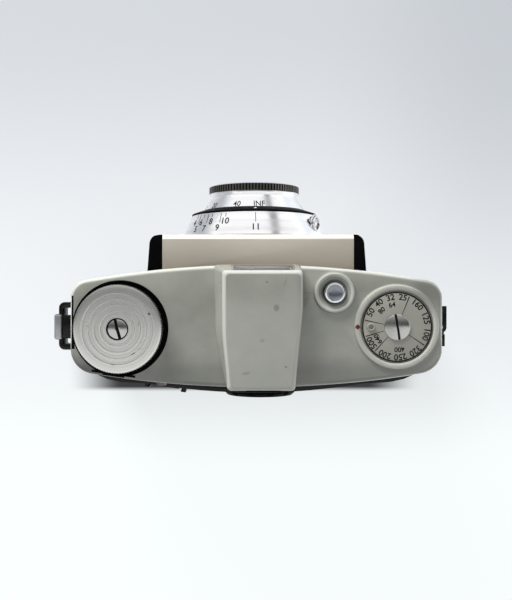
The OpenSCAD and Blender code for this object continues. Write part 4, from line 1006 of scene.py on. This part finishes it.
# Node, finish and width of the broken edge
BROKEN_EDGES = (
    ("body_shell", BLACK, 0.25), ("lens_block", BLOCK_BLACK, 0.3), ("front_plate", CREAM, 0.12),
    ("back_door", DOOR_BLACK, 0.25), ("exposure_dial", BLOCK_BLACK, 0.2),
    ("latch_strap", ENAMEL_BLACK, 0.2), ("latch_lugs", ENAMEL_BLACK, 0.15),
    ("body_hinge", ENAMEL_BLACK, 0.2), ("door_hinge", ENAMEL_BLACK, 0.2),
    ("window_cover", ENAMEL_BLACK, 0.1), ("window_track", ENAMEL_BLACK, 0.1),
    ("film_release", KNURL_METAL, 0.15), ("dial_rivet", CHROME, 0.12),
    ("scale_plate", CONE_METAL, 0.08), ("finder_frame", CHROME, 0.1),
    ("eyepiece_frame", BLOCK_BLACK, 0.1), ("takeup_spool", SPOOL_BLACK, 0.15),
    ("film_gate", DARK_STEEL, 0.1), ("pressure_plate", DARK_STEEL, 0.15),
    ("tripod_bush", BRASS, 0.15), ("wind_shaft", STEEL, 0.15), ("release_lever", STEEL, 0.15),
    ("knob_bush", BRASS, 0.1), ("front_cell", ENAMEL_BLACK, 0.1),
    ("front_retainer", CONE_METAL, 0.08), ("lens_barrel", DARK_STEEL, 0.1),
    ("shutter_base", DARK_STEEL, 0.1), ("shutter_cover", DARK_STEEL, 0.1),
)
KEPT_AS_BUILT = (
    (STEEL, ("body_screws", "clutch_spring", "spool_pivots", "hinge_pins", "lever_pin",
             "release_clip", "release_spring", "pressure_springs")),
    (DARK_STEEL, ("shutter_blade", "aperture_blade_left", "aperture_blade_right")),
    (GLASS, ("front_lens", "middle_lens", "rear_lens")),
    (ENAMEL_BLACK, ("rear_retainer",)), (SPOOL_BLACK, ("flash_insulator",)),
    (CHROME, ("flash_contact",)), (WINDOW, ("eyepiece_lens",)), (RED_WINDOW, ("red_window",)),
)
# How high the two hinges start
HINGE_LOW = (4.5, 40.3)


def make_latch_tab():
    tab = round_edges(block("latch_tab_finished", (64.5, -4.3, 39.1), (67.4, 4.3, 49.9)), 0.9, 4)
    cut(tab, block("strap", (60, -6, 40.0), (65.9, 6, 49.0)))
    fit(tab, "latch_tab", TAB_STEEL, angle=40)


def soft_step(value, low, high):
    t = min(max((value - low) / (high - low), 0), 1)
    return t * t * (3 - 2 * t)


def set_over(piece, node):
    """Small shifts that the photograph shows: plate and block aside, the door's ends back."""
    plate_aside, door_out = 0.7, 1.4
    for v in piece.data.vertices:
        x, y = v.co.x / MM, v.co.y / MM
        if node in ("lens_block", "front_plate") and 28 < abs(x) < 33:
            v.co.x -= plate_aside * MM
        elif node == "lens_block" and abs(x) > 33:
            v.co.x -= (0.4 if x < 0 else 0.2) * MM
        elif node == "back_door" and y > 10:
            near_end = soft_step(abs(x), 34, 46) * (1 - soft_step(abs(x), 50, 56))
            v.co.y += door_out * near_end * MM
    if node == "finder_frame":
        lean_back(piece)
    if node == "door_hinge":
        # The door's leaves are filled out to one bar with the body's knuckles
        for low in HINGE_LOW:
            weld(piece, block("bar", (-62.6, 2.35, low + 3.9), (-59.4, 6.3, low + 13.0)))
    return piece


def finish_nodes():
    for node, material, width in BROKEN_EDGES:
        piece = set_over(node_copy(node), node)
        fit(round_edges(piece, width, 2), node, material, angle=32,
            slot="black_enamel" if node == "window_track" else None)
    fit(lean_back(node_copy("finder_window")), "finder_window", WINDOW)
    for material, nodes in KEPT_AS_BUILT:
        for node in nodes:
            target = frame["nodes"][node]
            target.data.materials.clear()
            target.data.materials.append(material)


# ---- Studio ----

def seen_in_gloss(board, path):
    return board.maths("MAXIMUM", path.outputs["Is Glossy Ray"],
                       path.outputs["Is Transmission Ray"])


def make_floor():
    deselect()
    bpy.ops.mesh.primitive_plane_add(size=6)
    floor = bpy.context.object
    floor.name = "studio_floor"
    material, board, shader, place = finish("studio paper")
    x, y = board.axes(place)[:2]
    step, times, tint = board.step, board.times, board.tint
    paper = tint(linear(213, 217, 222), (249, 252, 255), step(y, -130, 5))
    paper = tint(paper, (250, 255, 255), step(y, -10, 50))
    paper = tint(paper, (192, 197, 203), step(x, -20, -100), step(y, 50, -100), 0.5)
    # A painted shadow: the door's foot stands close to the paper and leaves a tight shadow behind
    # it
    aside = board.maths("ABSOLUTE", board.maths("SUBTRACT", x, 3 * MM))
    paper = tint(paper, (26, 26, 28), step(y, 5, 15), step(y, 24.8, 27, 1.0, 0.0),
                 step(aside, 48, 70, 0.95, 0.0))
    # Far away it is as light as the backdrop, so that no edge shows between the two
    far = step(away_from(board, place, (0, 0, 0)), 350, 1000)
    paper = tint(paper, (249, 250, 252), far)
    board.feed(shader, "Base Color", paper)
    shader.inputs["Roughness"].default_value = 0.9
    shader.inputs["Specular IOR Level"].default_value = 0.1
    # Most of the paper's brightness in the picture is its own, so that the shadow stays faint
    path = board.node("ShaderNodeLightPath")
    both = board.node("ShaderNodeMixShader")
    mirrored = seen_in_gloss(board, path)
    # Bright metal sees it brighter on one side of the lens and greyer on the other
    sides = times(step(x, -80, -20, 1.95, 1.0), step(x, 30, 100, 1.0, 0.6))
    strength = board.maths("MULTIPLY_ADD", mirrored, board.maths("SUBTRACT", sides, 1.0),
                           step(y, 10, 50, 1.0, 1.04))
    own = board.node("ShaderNodeEmission", Color=paper, Strength=strength)
    seen = board.maths("MAXIMUM", path.outputs["Is Camera Ray"], mirrored)
    board.feed(both, 0, times(seen, board.maths("MAXIMUM", step(y, 20, 60, 0.72, 0.9), far)))
    board.feed(both, 1, shader.outputs[0])
    board.feed(both, 2, own.outputs[0])
    board.feed(board.tree.nodes["Material Output"], "Surface", both.outputs[0])
    floor.data.materials.append(material)


def make_lamp(name, place, aim, size, power):
    deselect()
    bpy.ops.object.light_add(type="AREA", location=place)
    lamp = bpy.context.object
    lamp.name = name
    lamp.data.shape = "SQUARE"
    lamp.data.size = size
    lamp.data.energy = power
    lamp.rotation_euler = (Vector(aim) - Vector(place)).to_track_quat("-Z", "Y").to_euler()
    lamp.visible_glossy = False


def make_world():
    """A soft backdrop that lights evenly; bright metal sees dark cards in front of it."""
    world = bpy.context.scene.world or bpy.data.worlds.new("studio")
    bpy.context.scene.world = world
    world.use_nodes = True
    board = Board(world.node_tree)
    out = world.node_tree.nodes["Background"]
    towards = board.node("ShaderNodeTexCoord").outputs["Generated"]
    x, y, z = board.axes(towards)
    # A card over the front half, a narrow slanting strip, and grey on the +X side
    card = board.times(board.ramp(y, -0.01, 0.03, 1.0, 0.0), board.ramp(y, -0.56, -0.48),
                       board.ramp(y, -0.5, -0.06, 0.35, 1.0),
                       board.ramp(board.maths("ABSOLUTE", x), 0.7, 0.85, 1.0, 0.0),
                       board.ramp(z, 0.2, 0.35))
    slant_x, slant_y, slant_z = 0.8586, -0.2274, 0.4597
    across = board.maths("MULTIPLY_ADD", z, slant_z, board.maths(
        "MULTIPLY_ADD", y, slant_y, board.times(x, slant_x)))
    strip = board.times(board.ramp(board.maths("ABSOLUTE", across), 0.06, 0.13, 1.0, 0.0),
                        board.ramp(y, -0.5, -0.45, 0.72, 0.0))
    dark = board.maths("MAXIMUM", card, strip)
    dark = board.maths("MAXIMUM", dark, board.ramp(x, 0.84, 0.9, 0.0, 0.5))
    shown = board.blend(dark, (1.1, 1.1, 1.1, 1), (0.06, 0.06, 0.065, 1))
    path = board.node("ShaderNodeLightPath")
    soft = board.blend(seen_in_gloss(board, path), (0.28, 0.284, 0.292, 1), shown)
    board.feed(out, "Color", board.blend(path.outputs["Is Camera Ray"], soft,
                                         (0.94, 0.95, 0.97, 1)))


def make_camera():
    """Above the top plate, looking down, with the lens towards the top of the picture."""
    deselect()
    bpy.ops.object.camera_add(location=(0.0071, -0.009, 0.341), rotation=(0, 0, math.pi))
    camera = bpy.context.object
    camera.data.sensor_width = 36
    camera.data.lens = 52.2
    # The picture is moved aside by 22 of the 600 pixels of its height
    camera.data.shift_x = 22 / 600
    camera.data.clip_start, camera.data.clip_end = 0.01, 20
    bpy.context.scene.camera = camera


# The camera's and the lamps' places and sizes are in metres
make_camera()
make_world()
make_floor()
make_lamp("front_key", (0.30, -0.68, 0.27), (0, 0, 0.05), 0.4, 8.6)
make_lamp("top_fill", (-0.1, 0.1, 0.9), (0, 0, 0.05), 0.8, 1.3)
bpy.context.scene.view_settings.view_transform = "Standard"

make_cover()
make_knob()
make_screws()
make_shutter_housing()
make_flash_socket()
make_exposure_ring()
make_focus_ring()
make_film_dial()
make_button()
make_latch_tab()
finish_nodes()

deselect()
